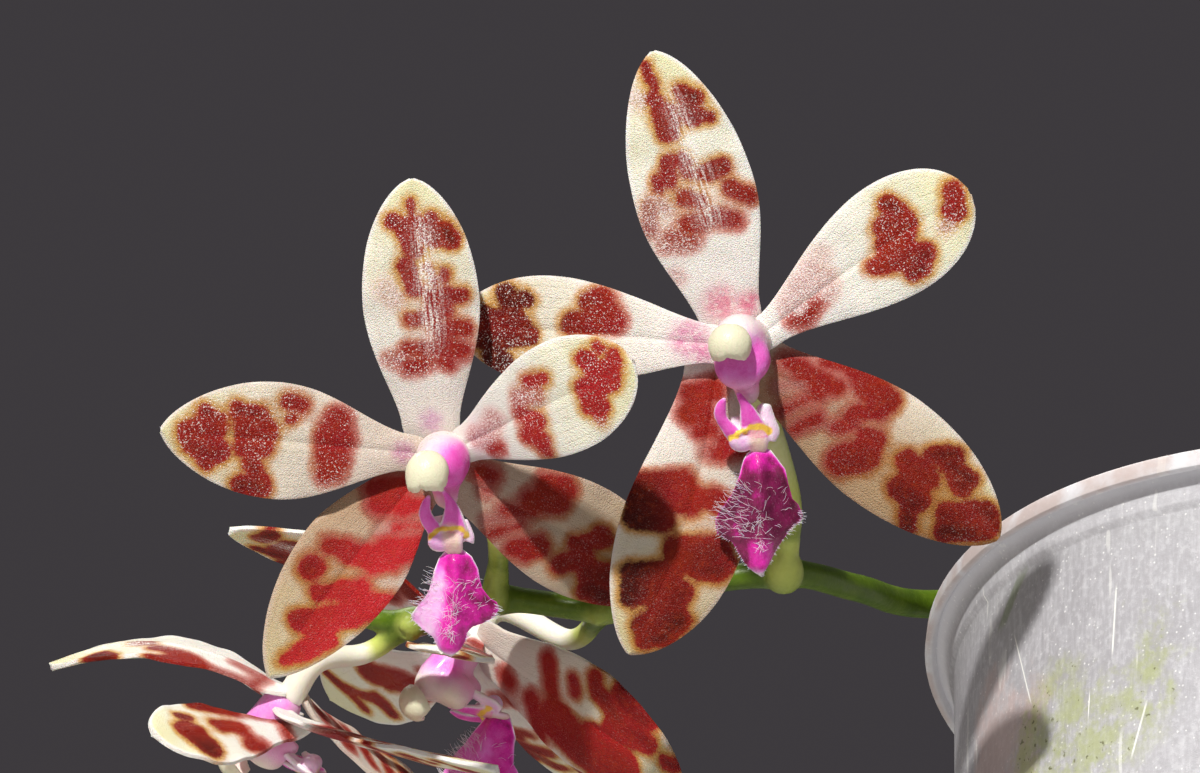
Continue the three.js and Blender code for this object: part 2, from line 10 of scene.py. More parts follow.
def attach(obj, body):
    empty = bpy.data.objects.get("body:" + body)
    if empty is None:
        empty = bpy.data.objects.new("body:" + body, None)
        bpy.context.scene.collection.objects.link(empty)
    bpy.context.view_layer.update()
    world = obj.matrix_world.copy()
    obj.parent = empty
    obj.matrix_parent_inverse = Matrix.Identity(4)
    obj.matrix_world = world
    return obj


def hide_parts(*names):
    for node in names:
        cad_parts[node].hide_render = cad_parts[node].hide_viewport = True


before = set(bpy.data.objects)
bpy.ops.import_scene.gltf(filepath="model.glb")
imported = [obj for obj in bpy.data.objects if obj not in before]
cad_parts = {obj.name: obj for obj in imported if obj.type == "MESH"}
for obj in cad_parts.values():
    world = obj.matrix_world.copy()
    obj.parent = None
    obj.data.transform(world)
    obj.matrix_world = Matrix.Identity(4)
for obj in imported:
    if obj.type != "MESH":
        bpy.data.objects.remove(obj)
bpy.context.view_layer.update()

MM = 0.001
GOLDEN_TURN, GOLDEN_SHARE = 2.39996, 0.618034


# ---- Bench tools ---------------------------------------------------------------------------------------------

def clear_selection():
    for thing in list(bpy.context.selected_objects):
        thing.select_set(False)


def pick(piece):
    clear_selection()
    piece.select_set(True)
    bpy.context.view_layer.objects.active = piece


def start_with(primitive, name, **size):
    """A primitive to shape further, with nothing else selected."""
    clear_selection()
    primitive(**size)
    bpy.context.object.name = name
    return bpy.context.object


def put_in_scene(name, data):
    thing = bpy.data.objects.new(name, data)
    bpy.context.scene.collection.objects.link(thing)
    return thing


def points_of(piece):
    flat = np.zeros(len(piece.data.vertices) * 3)
    piece.data.vertices.foreach_get("co", flat)
    return flat.reshape(-1, 3)


def move_points(piece, points):
    """Puts every vertex at its point, in millimetres."""
    piece.data.vertices.foreach_set("co", (np.asarray(points) * MM).ravel())
    piece.data.update()


def mark(piece, **marks):
    """Keeps one number for each vertex under each name, for the piece's material to read."""
    for name, values in marks.items():
        layer = piece.data.attributes.get(name) or piece.data.attributes.new(name, "FLOAT", "POINT")
        every = np.broadcast_to(np.asarray(values, np.float32), len(piece.data.vertices))
        layer.data.foreach_set("value", every.ravel())


def apply_modifiers(piece):
    pick(piece)
    for step in list(piece.modifiers):
        bpy.ops.object.modifier_apply(modifier=step.name)


def settle(piece):
    """Takes a primitive's place into its mesh, so that the object itself sits at the origin."""
    pick(piece)
    bpy.ops.object.transform_apply(location=True, rotation=True, scale=True)


def join(pieces, name):
    clear_selection()
    for piece in pieces:
        piece.select_set(True)
    bpy.context.view_layer.objects.active = pieces[0]
    if len(pieces) > 1:
        bpy.ops.object.join()
    pieces[0].name = name
    return pieces[0]


def smooth(piece, angle=None):
    """Rounds the shading, all over or only where faces meet at less than that many degrees."""
    pick(piece)
    if angle:
        bpy.ops.object.shade_smooth_by_angle(angle=math.radians(angle))
    else:
        bpy.ops.object.shade_smooth()


def round_edges(piece, width, steps, angle):
    """Rounds the edges that turn by more than that many degrees."""
    rim = piece.modifiers.new("rim", "BEVEL")
    rim.width, rim.segments = width * MM, steps
    rim.limit_method, rim.angle_limit = "ANGLE", math.radians(angle)


def face_outwards(piece, weld=False):
    """Turns every face outwards, and with weld first joins points that lie on one another."""
    pick(piece)
    bpy.ops.object.mode_set(mode="EDIT")
    bpy.ops.mesh.select_all(action="SELECT")
    if weld:
        bpy.ops.mesh.remove_doubles(threshold=0.002 * MM)
    bpy.ops.mesh.normals_make_consistent(inside=False)
    bpy.ops.object.mode_set(mode="OBJECT")


def finish_piece(piece, slot, materials, *nodes):
    piece.data.materials.clear()
    for material in materials:
        piece.data.materials.append(material)
    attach(piece, "root")
    if nodes:
        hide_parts(*nodes)


def ease(value, start, end):
    """0 before start and 1 after end, with a soft turn between them. Start may be the larger."""
    share = np.clip((np.asarray(value, float) - start) / (end - start), 0, 1)
    return share * share * (3 - 2 * share)


def hump(value, width):
    """1 at nothing, falling off on both sides over about that width."""
    return np.exp(-(value / width) ** 2)


def ripple(points, size, seed=0):
    """Smooth noise between about -1 and 1 at each point, for bumps of that size."""
    shift = Vector((seed * 7.13, seed * 3.71, seed * 5.37))
    return np.array([noise.noise(Vector(p) / size + shift) for p in np.asarray(points)])


def read_track(at, shares, track):
    """The point of a track at each place, where shares says how far along each of the track's points lies."""
    return np.stack([np.interp(at, shares, track[:, k]) for k in range(3)], 1)


def unit(way):
    return way / np.linalg.norm(way)


# ---- The camera, the lights and the floor --------------------------------------------------------------------

# The spray's own frame: its blooms look along OUT, and ACROSS and UP lie in their plane
NOD, TILT = math.radians(30), math.radians(9)
FACE_UP = np.array([0, -math.sin(NOD), math.cos(NOD)])
OUT = np.array([0, -math.cos(NOD), -math.sin(NOD)])
ACROSS = np.array([math.cos(TILT), 0, 0]) + FACE_UP * math.sin(TILT)
UP = np.array([-math.sin(TILT), 0, 0]) + FACE_UP * math.cos(TILT)
SPRAY = np.array([-69.5, -41.4, 69.8])

CAMERA_AWAY, FOCAL_LENGTH, SENSOR_WIDTH = 450, 180, 36
NEAREST, FARTHEST = 10, 50000
LIT_PLACE = np.array((-60, -30, 60))
# Each light's direction in the spray's frame, distance, side, watts and colour
LIGHTS = {"key": ((-0.2, 0.73, 0.65), 2500, 90, 88, (1.0, 0.975, 0.93)),
          "fill": ((0.2, 0.1, 0.9), 1200, 800, 1.7, (0.9, 0.95, 1.0)),
          "back": ((-0.35, 0.8, -0.75), 800, 300, 2.5, (1.0, 0.98, 0.94))}
BACKDROP = (0.0475, 0.0430, 0.0480)
FLOOR_SIZE, FLOOR_MIDDLE = (2400, 1500, 12), (0, 660, -6)


def from_spray(points):
    points = np.asarray(points, float)
    return SPRAY + points[..., 0:1] * ACROSS + points[..., 1:2] * UP + points[..., 2:3] * OUT


def aim(thing, place, look_along, up):
    back = -Vector(look_along).normalized()
    right = Vector(up).cross(back).normalized()
    turn = Matrix((right, back.cross(right), back)).transposed()
    thing.matrix_world = Matrix.Translation(Vector(place) * MM) @ turn.to_4x4()


def set_camera():
    lens = bpy.data.cameras.new("camera")
    lens.sensor_width, lens.lens = SENSOR_WIDTH, FOCAL_LENGTH
    lens.clip_start, lens.clip_end = NEAREST * MM, FARTHEST * MM
    camera = put_in_scene("camera", lens)
    aim(camera, SPRAY + OUT * CAMERA_AWAY, -OUT, UP)
    bpy.context.scene.camera = camera


def add_light(name, way, distance, side, watts, colour):
    """A square soft light that looks at the plant."""
    lamp = bpy.data.lights.new(name, "AREA")
    lamp.size, lamp.energy, lamp.color = side * MM, watts, colour
    toward = unit(ACROSS * way[0] + UP * way[1] + OUT * way[2])
    aim(put_in_scene(name, lamp), LIT_PLACE + toward * distance, -toward, (0, 0.1, 1))


def set_stage():
    world = bpy.data.worlds.new("studio")
    world.use_nodes = True
    world.node_tree.nodes["Background"].inputs["Color"].default_value = (*BACKDROP, 1)
    bpy.context.scene.world = world
    bpy.context.scene.view_settings.view_transform = "Standard"
    for name, light in LIGHTS.items():
        add_light(name, *light)
    floor = start_with(bpy.ops.mesh.primitive_cube_add, "floor", size=1,
                       location=[v * MM for v in FLOOR_MIDDLE], scale=[v * MM for v in FLOOR_SIZE])
    settle(floor)
    edge = floor.modifiers.new("edge", "BEVEL")
    edge.width, edge.segments = 2 * MM, 3
    apply_modifiers(floor)
    smooth(floor, 40)
    floor.data.materials.append(pale_floor())


# ---- Shader tools and shared effects -------------------------------------------------------------------------

class Flow:
    """A value on its way through a material, which adds and multiplies as a number does."""

    def __init__(self, bench, socket):
        self.bench, self.socket = bench, socket

    def __add__(self, other):
        return self.bench.maths("ADD", self, other)

    def __sub__(self, other):
        return self.bench.maths("SUBTRACT", self, other)

    def __rsub__(self, other):
        return self.bench.maths("SUBTRACT", other, self)

    def __mul__(self, other):
        return self.bench.maths("MULTIPLY", self, other)

    def __rtruediv__(self, other):
        return self.bench.maths("DIVIDE", other, self)

    def __abs__(self):
        return self.bench.maths("ABSOLUTE", self)

    def band(self, start, end, low=0.0, high=1.0):
        """Low before start and high after end, with a soft turn between them. Start may be the larger."""
        ends = {"Value": self, "From Min": start, "From Max": end, "To Min": low, "To Max": high}
        return self.bench.put("MapRange", ends, "Result", interpolation_type="SMOOTHSTEP")


def plain_words(values):
    return {key.replace("_", " "): value for key, value in values.items()}


class Bench:
    """Where a material or a shared effect is put together. Its last node is the one that ends it."""

    def __init__(self, owner, tree, last):
        self.owner, self.tree, self.last = owner, tree, last

    def put(self, kind, inputs, out=0, **settings):
        """Adds a node. An input is a number, a colour, a vector or a flow, and out names what comes back."""
        made = self.tree.nodes.new("ShaderNode" + kind)
        for key, value in settings.items():
            setattr(made, key, value)
        for key, value in inputs.items():
            socket = made.inputs[key]
            if isinstance(value, Flow):
                self.tree.links.new(value.socket, socket)
            else:
                socket.default_value = (*value, 1) if socket.type == "RGBA" else value
        if isinstance(out, tuple):
            return [Flow(self, made.outputs[key]) for key in out]
        return Flow(self, made.outputs[out])

    def finish(self, **inputs):
        for key, value in plain_words(inputs).items():
            self.tree.links.new(value.socket, self.last.inputs[key])
        return self.owner

    def mark(self, name):
        return self.put("Attribute", {}, "Fac", attribute_name=name)

    def here(self):
        return self.put("TexCoord", {}, "Object")

    def maths(self, step, a, b=0.0, c=0.0):
        return self.put("Math", {0: a, 1: b, 2: c}, operation=step)

    def larger(self, a, b):
        return self.maths("MAXIMUM", a, b)

    def grain(self, place, scale, detail=3.0, rough=0.55, stretch=None):
        if stretch:
            place = self.put("Mapping", {"Vector": place, "Scale": (1.0, 1.0, stretch)})
        return self.put("TexNoise", {"Vector": place, "Scale": scale, "Detail": detail, "Roughness": rough}, "Fac")

    def cells(self, place, scale):
        """Rounded cells: how far each place is from its cell's heart, and a number of the cell's own."""
        far, colour = self.put("TexVoronoi", {"Vector": place, "Scale": scale}, ("Distance", "Color"), feature="F1")
        return far, self.put("SeparateColor", {"Color": colour})

    def blend(self, share, first, second, how="MIX"):
        return self.put("Mix", {0: share, 6: first, 7: second}, 2, data_type="RGBA", blend_type=how)

    def coats(self, colour, *layers):
        """Lays each layer of colour over what is under it, as thickly as its share says."""
        for share, layer in layers:
            colour = self.blend(share, colour, layer)
        return colour

    def bump(self, height, strength, depth_mm, under=None):
        inputs = {"Height": height, "Strength": strength, "Distance": depth_mm * MM}
        return self.put("Bump", inputs | ({"Normal": under} if under else {}))

    def shared(self, group, out, **values):
        return self.put("Group", plain_words(values), out, node_tree=group)

    def mottling(self, patch_size, contrast):
        return self.shared(MOTTLING, "Share", Patch_Size=patch_size, Contrast=contrast)

    def veins(self, across, along, count):
        return self.shared(VEINS, "Lines", Across=across, Along=along, Count=count)

    def crystals(self, cell_size, unevenness):
        return self.shared(CRYSTAL_SKIN, ("Height", "Glint"), Cell_Size=cell_size, Unevenness=unevenness)


def new_material(name, **plain):
    material = bpy.data.materials.new(name)
    material.use_nodes = True
    shader = material.node_tree.nodes["Principled BSDF"]
    for key, value in plain_words(plain).items():
        shader.inputs[key].default_value = value
    return Bench(material, material.node_tree, shader)


def new_group(name, outputs, **inputs):
    """A shared effect with its numbers in, each with its usual value, and its numbers out."""
    group = bpy.data.node_groups.new(name, "ShaderNodeTree")
    for label, value in plain_words(inputs).items():
        group.interface.new_socket(label, in_out="INPUT", socket_type="NodeSocketFloat").default_value = value
    for label in outputs:
        group.interface.new_socket(label, in_out="OUTPUT", socket_type="NodeSocketFloat")
    bench = Bench(group, group, group.nodes.new("NodeGroupOutput"))
    entry = group.nodes.new("NodeGroupInput").outputs
    return bench, [Flow(bench, entry[label]) for label in plain_words(inputs)]


def crystal_skin_group():
    """The flower's skin: rounded cells for the bump, and a Glint mask of the brighter cells with which the
    materials paint highlights into the colour.
    """
    bench, (cell_size, unevenness) = new_group("crystal skin", ("Height", "Glint"), Cell_Size=0.17, Unevenness=0.5)
    far, own = bench.cells(bench.here(), 1000.0 / cell_size)
    dome = 1.0 - far
    tall = (own - 0.5) * unevenness
    return bench.finish(Height=dome * (tall + 1.0), Glint=own.band(0.72, 0.95) * dome.band(0.55, 0.8))


def mottling_group():
    """Cloudy unevenness of a colour at two sizes, for anything that grew."""
    bench, (patch_size, contrast) = new_group("mottling", ("Share",), Patch_Size=4.0, Contrast=0.5)
    here, scale = bench.here(), 1000.0 / patch_size
    both = bench.grain(here, scale, 4.0) * 0.7 + bench.grain(here, scale * 6.3, 2.0) * 0.3
    spread = (both - 0.5) * contrast
    return bench.finish(Share=bench.put("Clamp", {"Value": spread * 4.0 + 0.5}))


def veins_group():
    """Lines along a blade, from its own along and across marks, wavering a little."""
    bench, (across, along, count) = new_group("veins", ("Lines",), Across=0.0, Along=0.0, Count=9.0)
    waver = (bench.grain(bench.here(), 320.0, 2.0) - 0.5) * 0.5
    wave = abs(bench.maths("SINE", (across * count + waver) * math.pi))
    return bench.finish(Lines=wave.band(0.4, 0.0) * along.band(1.02, 0.8))


CRYSTAL_SKIN, MOTTLING, VEINS = crystal_skin_group(), mottling_group(), veins_group()


# ---- Materials -----------------------------------------------------------------------------------------------

WHITE, CREAM, CREAM_WHITE, TIP_YELLOW = (1.0, 1.0, 1.0), (0.90, 0.88, 0.79), (0.93, 0.90, 0.86), (0.84, 0.81, 0.50)
OCHRE_HALO, PINK_HALO = (0.64, 0.31, 0.03), (0.66, 0.20, 0.16)
# The chestnut and the tan here are painted shade, on the bars and on the flesh, and the ember red is painted light
# shining through the bars
BRICK, CRIMSON, LIT_THROUGH_RED = (0.34, 0.022, 0.005), (0.32, 0.009, 0.014), (0.58, 0.022, 0.030)
SHADE_CHESTNUT, RUST, SHADE_TAN = (0.062, 0.003, 0.0006), (0.50, 0.07, 0.015), (0.46, 0.31, 0.20)
BLUSH_PINK, LILAC, VEIN_BROWN = (0.80, 0.20, 0.24), (0.72, 0.34, 0.62), (0.55, 0.40, 0.25)
# Painted highlight colours: the rosy sparkle over the bars, and the sunlit white of glints, glitter and the gloss
# streak
ROSY_SPARKLE, SUNLIT_WHITE = (0.93, 0.80, 0.77), (0.99, 0.95, 0.90)
# The lip's colours by the mark called hue_depth, from near-white through lilac and hot magenta to deep purple
LIP_COLOURS = {0.0: (0.93, 0.86, 0.83), 0.22: (0.85, 0.48, 0.78), 0.42: (0.89, 0.21, 0.69),
               0.64: (0.76, 0.022, 0.42), 0.82: (0.22, 0.014, 0.085), 1.0: (0.085, 0.006, 0.03)}
CAP_CREAM, CALLUS_YELLOW, LIP_GLINT = (0.85, 0.78, 0.56), (0.93, 0.58, 0.08), (1.0, 0.93, 0.97)


def tepal_skin(name, strength, cells):
    """Cream flesh with red-brown bars, painted shade and light through the bars, and painted glints, glitter and
    gloss. Strength is how strongly the bars show on this face of the blade.
    """
    bench = new_material(name, Roughness=0.45, Subsurface_Weight=0.16, Subsurface_Scale=0.0005,
                         Subsurface_Radius=(1.0, 0.45, 0.22), Coat_Weight=0.03, Coat_Roughness=0.2,
                         Specular_IOR_Level=0.14, IOR=1.4)
    here, along, across = bench.here(), bench.mark("along"), bench.mark("across")
    wander = (bench.grain(here, 560.0, 2.5) - 0.64) * 0.75
    fray = (bench.grain(here, 5200.0, 2.0, 0.7) - 0.5) * 0.5
    gap = bench.mark("bar_gap") + wander + fray
    fine = bench.grain(here, 7600.0, 2.0, 0.75)
    # Specks of painted sparkle highlight over the bars
    bar_sparkle_specks = (fine - bench.maths("MULTIPLY_ADD", bench.mark("bar_depth"), 0.26, 0.40)).band(-0.015, 0.03)
    depth = bench.mark("bar_depth").band(0.0, 0.75) * strength
    inside = (gap * along.band(0.15, 0.75, 1.0, 2.4)).band(0.45, -0.5) * depth
    halo = gap.band(0.7, 0.05) * depth
    clouds, specks = bench.mottling(3.0, 0.7), bench.mottling(0.5, 0.9)
    veins = bench.veins(across, along, 5.0)

    blush = bench.blend(bench.mark("lilac"), BLUSH_PINK, LILAC)
    ground = bench.coats(CREAM_WHITE, (along.band(0.1, 0.55), CREAM),
                         ((along + clouds * 0.25).band(0.55, 1.2), TIP_YELLOW),
                         (bench.mark("margin").band(0.5, 0.0), CREAM_WHITE),
                         (bench.mark("blush") * specks.band(-0.4, 0.8), blush), (veins * 0.07, VEIN_BROWN))
    halo_colour = bench.blend((along + clouds * 0.2).band(0.3, 0.75), PINK_HALO, OCHRE_HALO)
    # Painted shade and light in the bars: chestnut towards the margins and the tip and where the tone mark is above
    # 0, bright red where it is below 0
    dark = gap.band(0.0, -0.9) * along.band(0.3, 0.75, 0.1, 0.8) * abs(across).band(0.1, 0.75, 0.25, 1.0)
    tone = bench.mark("tone")
    bar_shade = tone.band(0.0, 1.0) * abs(across).band(0.0, 0.6, 0.5, 1.0)
    core = bench.coats(CRIMSON, (clouds, BRICK), (dark, SHADE_CHESTNUT), (tone.band(0.0, -1.0), LIT_THROUGH_RED),
                       (bar_shade, SHADE_CHESTNUT), (specks.band(0.5, 1.0) * 0.22, RUST))
    painted_bar_sparkle = bar_sparkle_specks * gap.band(0.9, 0.2) * bench.mark("graze_glints").band(0.0, 0.7, 0.05, 0.8)
    coloured = bench.coats(ground, (halo * 0.86, halo_colour), (inside, core), (painted_bar_sparkle * strength, ROSY_SPARKLE))
    # Painted shade: the shade mark browns and darkens the flesh, less over the bars
    shaded = bench.blend(bench.mark("shade") * inside.band(0.0, 1.0, 1.0, 0.45), WHITE, SHADE_TAN)
    coloured = bench.blend(1.0, coloured, shaded, "MULTIPLY")

    # Painted highlights mixed towards white: the cells' glints, more near the root, a gloss streak down the dorsal
    # sepals, and glitter where the light grazes
    height, glint = bench.crystals(cells, 0.9)
    patches = bench.grain(here, 260.0, 3.0).band(0.48, 0.62)
    sparkle = glint * (patches * 0.16 + along.band(0.42, 0.0) * 0.4) * inside.band(0.0, 0.8, 1.0, 0.15)
    run = bench.put("CombineXYZ", {"X": along * 9.0, "Y": across * 22.0})
    painted_gloss = bench.grain(run, 1.0, 4.0).band(0.36, 0.6) * bench.mark("sheen")
    sparkle = sparkle + painted_gloss * fine.band(0.42, 0.56, 0.15, 1.0)
    graze_glints = fine.band(0.57, 0.65) * patches.band(0.0, 1.0, 0.3, 0.85)
    sparkle = bench.larger(sparkle, graze_glints * bench.mark("graze_glints"))
    return bench.finish(Base_Color=bench.blend(sparkle, coloured, SUNLIT_WHITE),
                        Normal=bench.bump(height, 0.75, 0.09, bench.bump(1.0 - veins, 0.25, 0.08)),
                        Roughness=specks.band(0.0, 1.0, 0.26, 0.5))


def lip_flesh():
    """Lip, column and cap, with the yellow of the callus and the cream of the cap laid over the lip's colours, and
    the cells' glints painted in as highlights.
    """
    bench = new_material("lip_flesh", Roughness=0.3, Subsurface_Weight=0.35, Subsurface_Scale=0.0012,
                         Subsurface_Radius=(1.0, 0.5, 0.7), Coat_Weight=0.2, Coat_Roughness=0.15,
                         Specular_IOR_Level=0.35, IOR=1.42)
    specks, clouds = bench.mottling(0.6, 0.8), bench.mottling(2.0, 0.7)
    hue = bench.put("ValToRGB", {"Fac": bench.mark("hue_depth") + (specks + clouds - 1.0) * 0.1})
    ramp = hue.socket.node.color_ramp
    for place in list(LIP_COLOURS)[1:-1]:
        ramp.elements.new(place)
    for stop, colour in zip(ramp.elements, LIP_COLOURS.values()):
        stop.color = (*colour, 1)
    height, glint = bench.crystals(0.13, 0.7)
    colour = bench.coats(hue, (bench.mark("cream"), CAP_CREAM), (bench.mark("callus"), CALLUS_YELLOW),
                         (glint * 0.08, LIP_GLINT))
    return bench.finish(Base_Color=colour, Normal=bench.bump(height, 0.45, 0.05),
                        Roughness=specks.band(0.0, 1.0, 0.24, 0.42))


def lip_hair():
    bench = new_material("lip_hair", Roughness=0.4, Subsurface_Weight=0.3, Subsurface_Scale=0.0004)
    return bench.finish(Base_Color=bench.blend(bench.mark("along").band(0.0, 0.55), (0.80, 0.30, 0.62),
                                               (0.97, 0.90, 0.95)))


def stalk_skin():
    """Spike and flower stalks: fresh green, turning pale yellow-green and then cream towards a flower."""
    bench = new_material("stalk_skin", Roughness=0.4, Subsurface_Weight=0.3, Subsurface_Scale=0.0012,
                         Subsurface_Radius=(0.7, 1.0, 0.3), Coat_Weight=0.06, Coat_Roughness=0.25,
                         Specular_IOR_Level=0.3, IOR=1.42)
    clouds, specks = bench.mottling(3.5, 0.7), bench.mottling(0.6, 0.8)
    pale = bench.mark("pale") + (clouds - 0.5) * 0.12
    colour = bench.coats((0.060, 0.115, 0.005), (clouds, (0.115, 0.185, 0.010)),
                         (specks.band(0.7, 1.0) * 0.3, (0.22, 0.32, 0.04)),
                         (pale.band(0.0, 0.5), (0.56, 0.62, 0.15)), (pale.band(0.45, 0.95), (0.90, 0.86, 0.74)))
    return bench.finish(Base_Color=colour, Normal=bench.bump(bench.crystals(0.2, 0.6)[0], 0.3, 0.05),
                        Roughness=specks.band(0.0, 1.0, 0.3, 0.5))


def leaf_skin(name, green, dark, roughness):
    """Glossy green with pale veins and spine, a dark margin and a pale foot."""
    bench = new_material(name, Roughness=roughness, Subsurface_Weight=0.12, Subsurface_Scale=0.002,
                         Subsurface_Radius=(0.5, 1.0, 0.2), Coat_Weight=0.45, Coat_Roughness=0.16, IOR=1.45)
    along, across = bench.mark("along"), bench.mark("across")
    specks, veins = bench.mottling(1.2, 0.6), bench.veins(across, along, 13.0)
    colour = bench.coats(green, (bench.mottling(16.0, 0.7), dark), (specks * 0.25, (0.20, 0.32, 0.05)),
                         (veins * 0.28, (0.24, 0.38, 0.08)),
                         (abs(across).band(0.07, 0.0) * 0.5, (0.30, 0.42, 0.12)),
                         (bench.mark("margin").band(1.2, 0.0, 0.0, 0.55), (0.16, 0.08, 0.05)),
                         (along.band(0.14, 0.0), (0.42, 0.50, 0.18)))
    relief = bench.bump(1.0 - veins, 0.35, 0.12)
    return bench.finish(Base_Color=colour,
                        Normal=bench.bump(bench.grain(bench.here(), 2200.0), 0.12, 0.1, relief),
                        Roughness=specks.band(0.0, 1.0, roughness - 0.08, roughness + 0.12))


def root_skin():
    """Silvery velamen over green, with a fresh green growing point."""
    bench = new_material("root_skin", Roughness=0.7, Subsurface_Weight=0.1, Subsurface_Scale=0.001)
    colour = bench.coats((0.46, 0.50, 0.38), (bench.mottling(5.0, 0.8), (0.30, 0.38, 0.20)),
                         (bench.mottling(0.8, 0.9) * 0.4, (0.62, 0.63, 0.54)),
                         (bench.mark("along").band(0.9, 0.98), (0.24, 0.42, 0.07)))
    return bench.finish(Base_Color=colour, Normal=bench.bump(bench.grain(bench.here(), 2600.0), 0.5, 0.15))


def bark_skin():
    """Fibrous brown, lighter or darker from chip to chip, with dark stains and a little moss."""
    bench = new_material("bark_skin", Roughness=0.88)
    here = bench.here()
    fibre = bench.grain(here, 900.0, 5.0, 0.7, stretch=0.22)
    colour = bench.coats((0.085, 0.042, 0.026), (bench.mark("tone"), (0.33, 0.20, 0.115)),
                         (bench.mottling(4.0, 0.8) * 0.5, (0.07, 0.035, 0.022)),
                         (fibre.band(0.55, 0.75, 0.0, 0.6), (0.42, 0.27, 0.15)),
                         (bench.grain(here, 160.0).band(0.6, 0.75, 0.0, 0.5), (0.20, 0.24, 0.07)))
    return bench.finish(Base_Color=colour, Normal=bench.bump(fibre, 0.8, 0.6))


# Long scratches on the wall: degrees round the pot at the top and at the bottom, the two heights and the width
SCRATCHES = [(-138.6, -139, 69.3, 63.5, 0.22), (-158, -153.9, 69.3, 62.3, 0.2), (-133.4, -135.6, 59, 54.5, 0.26),
             (-165.3, -165.6, 75.5, 72.8, 0.18), (-142.6, -142.8, 61.2, 58.8, 0.15), (-60, -58, 60, 44, 0.25),
             (20, 19, 48, 38, 0.3), (104, 107, 66, 52, 0.25), (-100, -101, 40, 22, 0.3)]
# A green smear, laid out as a scratch is
GREEN_SMEAR = (-155.8, -161.7, 74.4, 70.6, 2.0)
# Middle and radius of the stained places and of the patches of algae inside the wall
ROSY_STAINS = [(-34.4, -10.5, 60.5, 7.5), (20, 24, 40, 14)]
ALGAE = [(-28.6, -21.0, 57.0, 9), (-25.8, -24.9, 61.5, 5), (-31.6, -16.5, 57.5, 5), (10, -32, 40, 12),
         (33, 8, 50, 10), (-12, 33, 46, 12)]
# The wall's radius where most of the scratches are, which turns degrees round the pot into millimetres
WALL_AT_SCRATCHES = 36
# Metres from the pot's middle, where the flange's colour, painted lighter for the light through the thin plastic,
# and the rim's stain start and where they are full
FLANGE_REACH, STAIN_REACH = (0.0376, 0.0386), (0.0392, 0.0399)


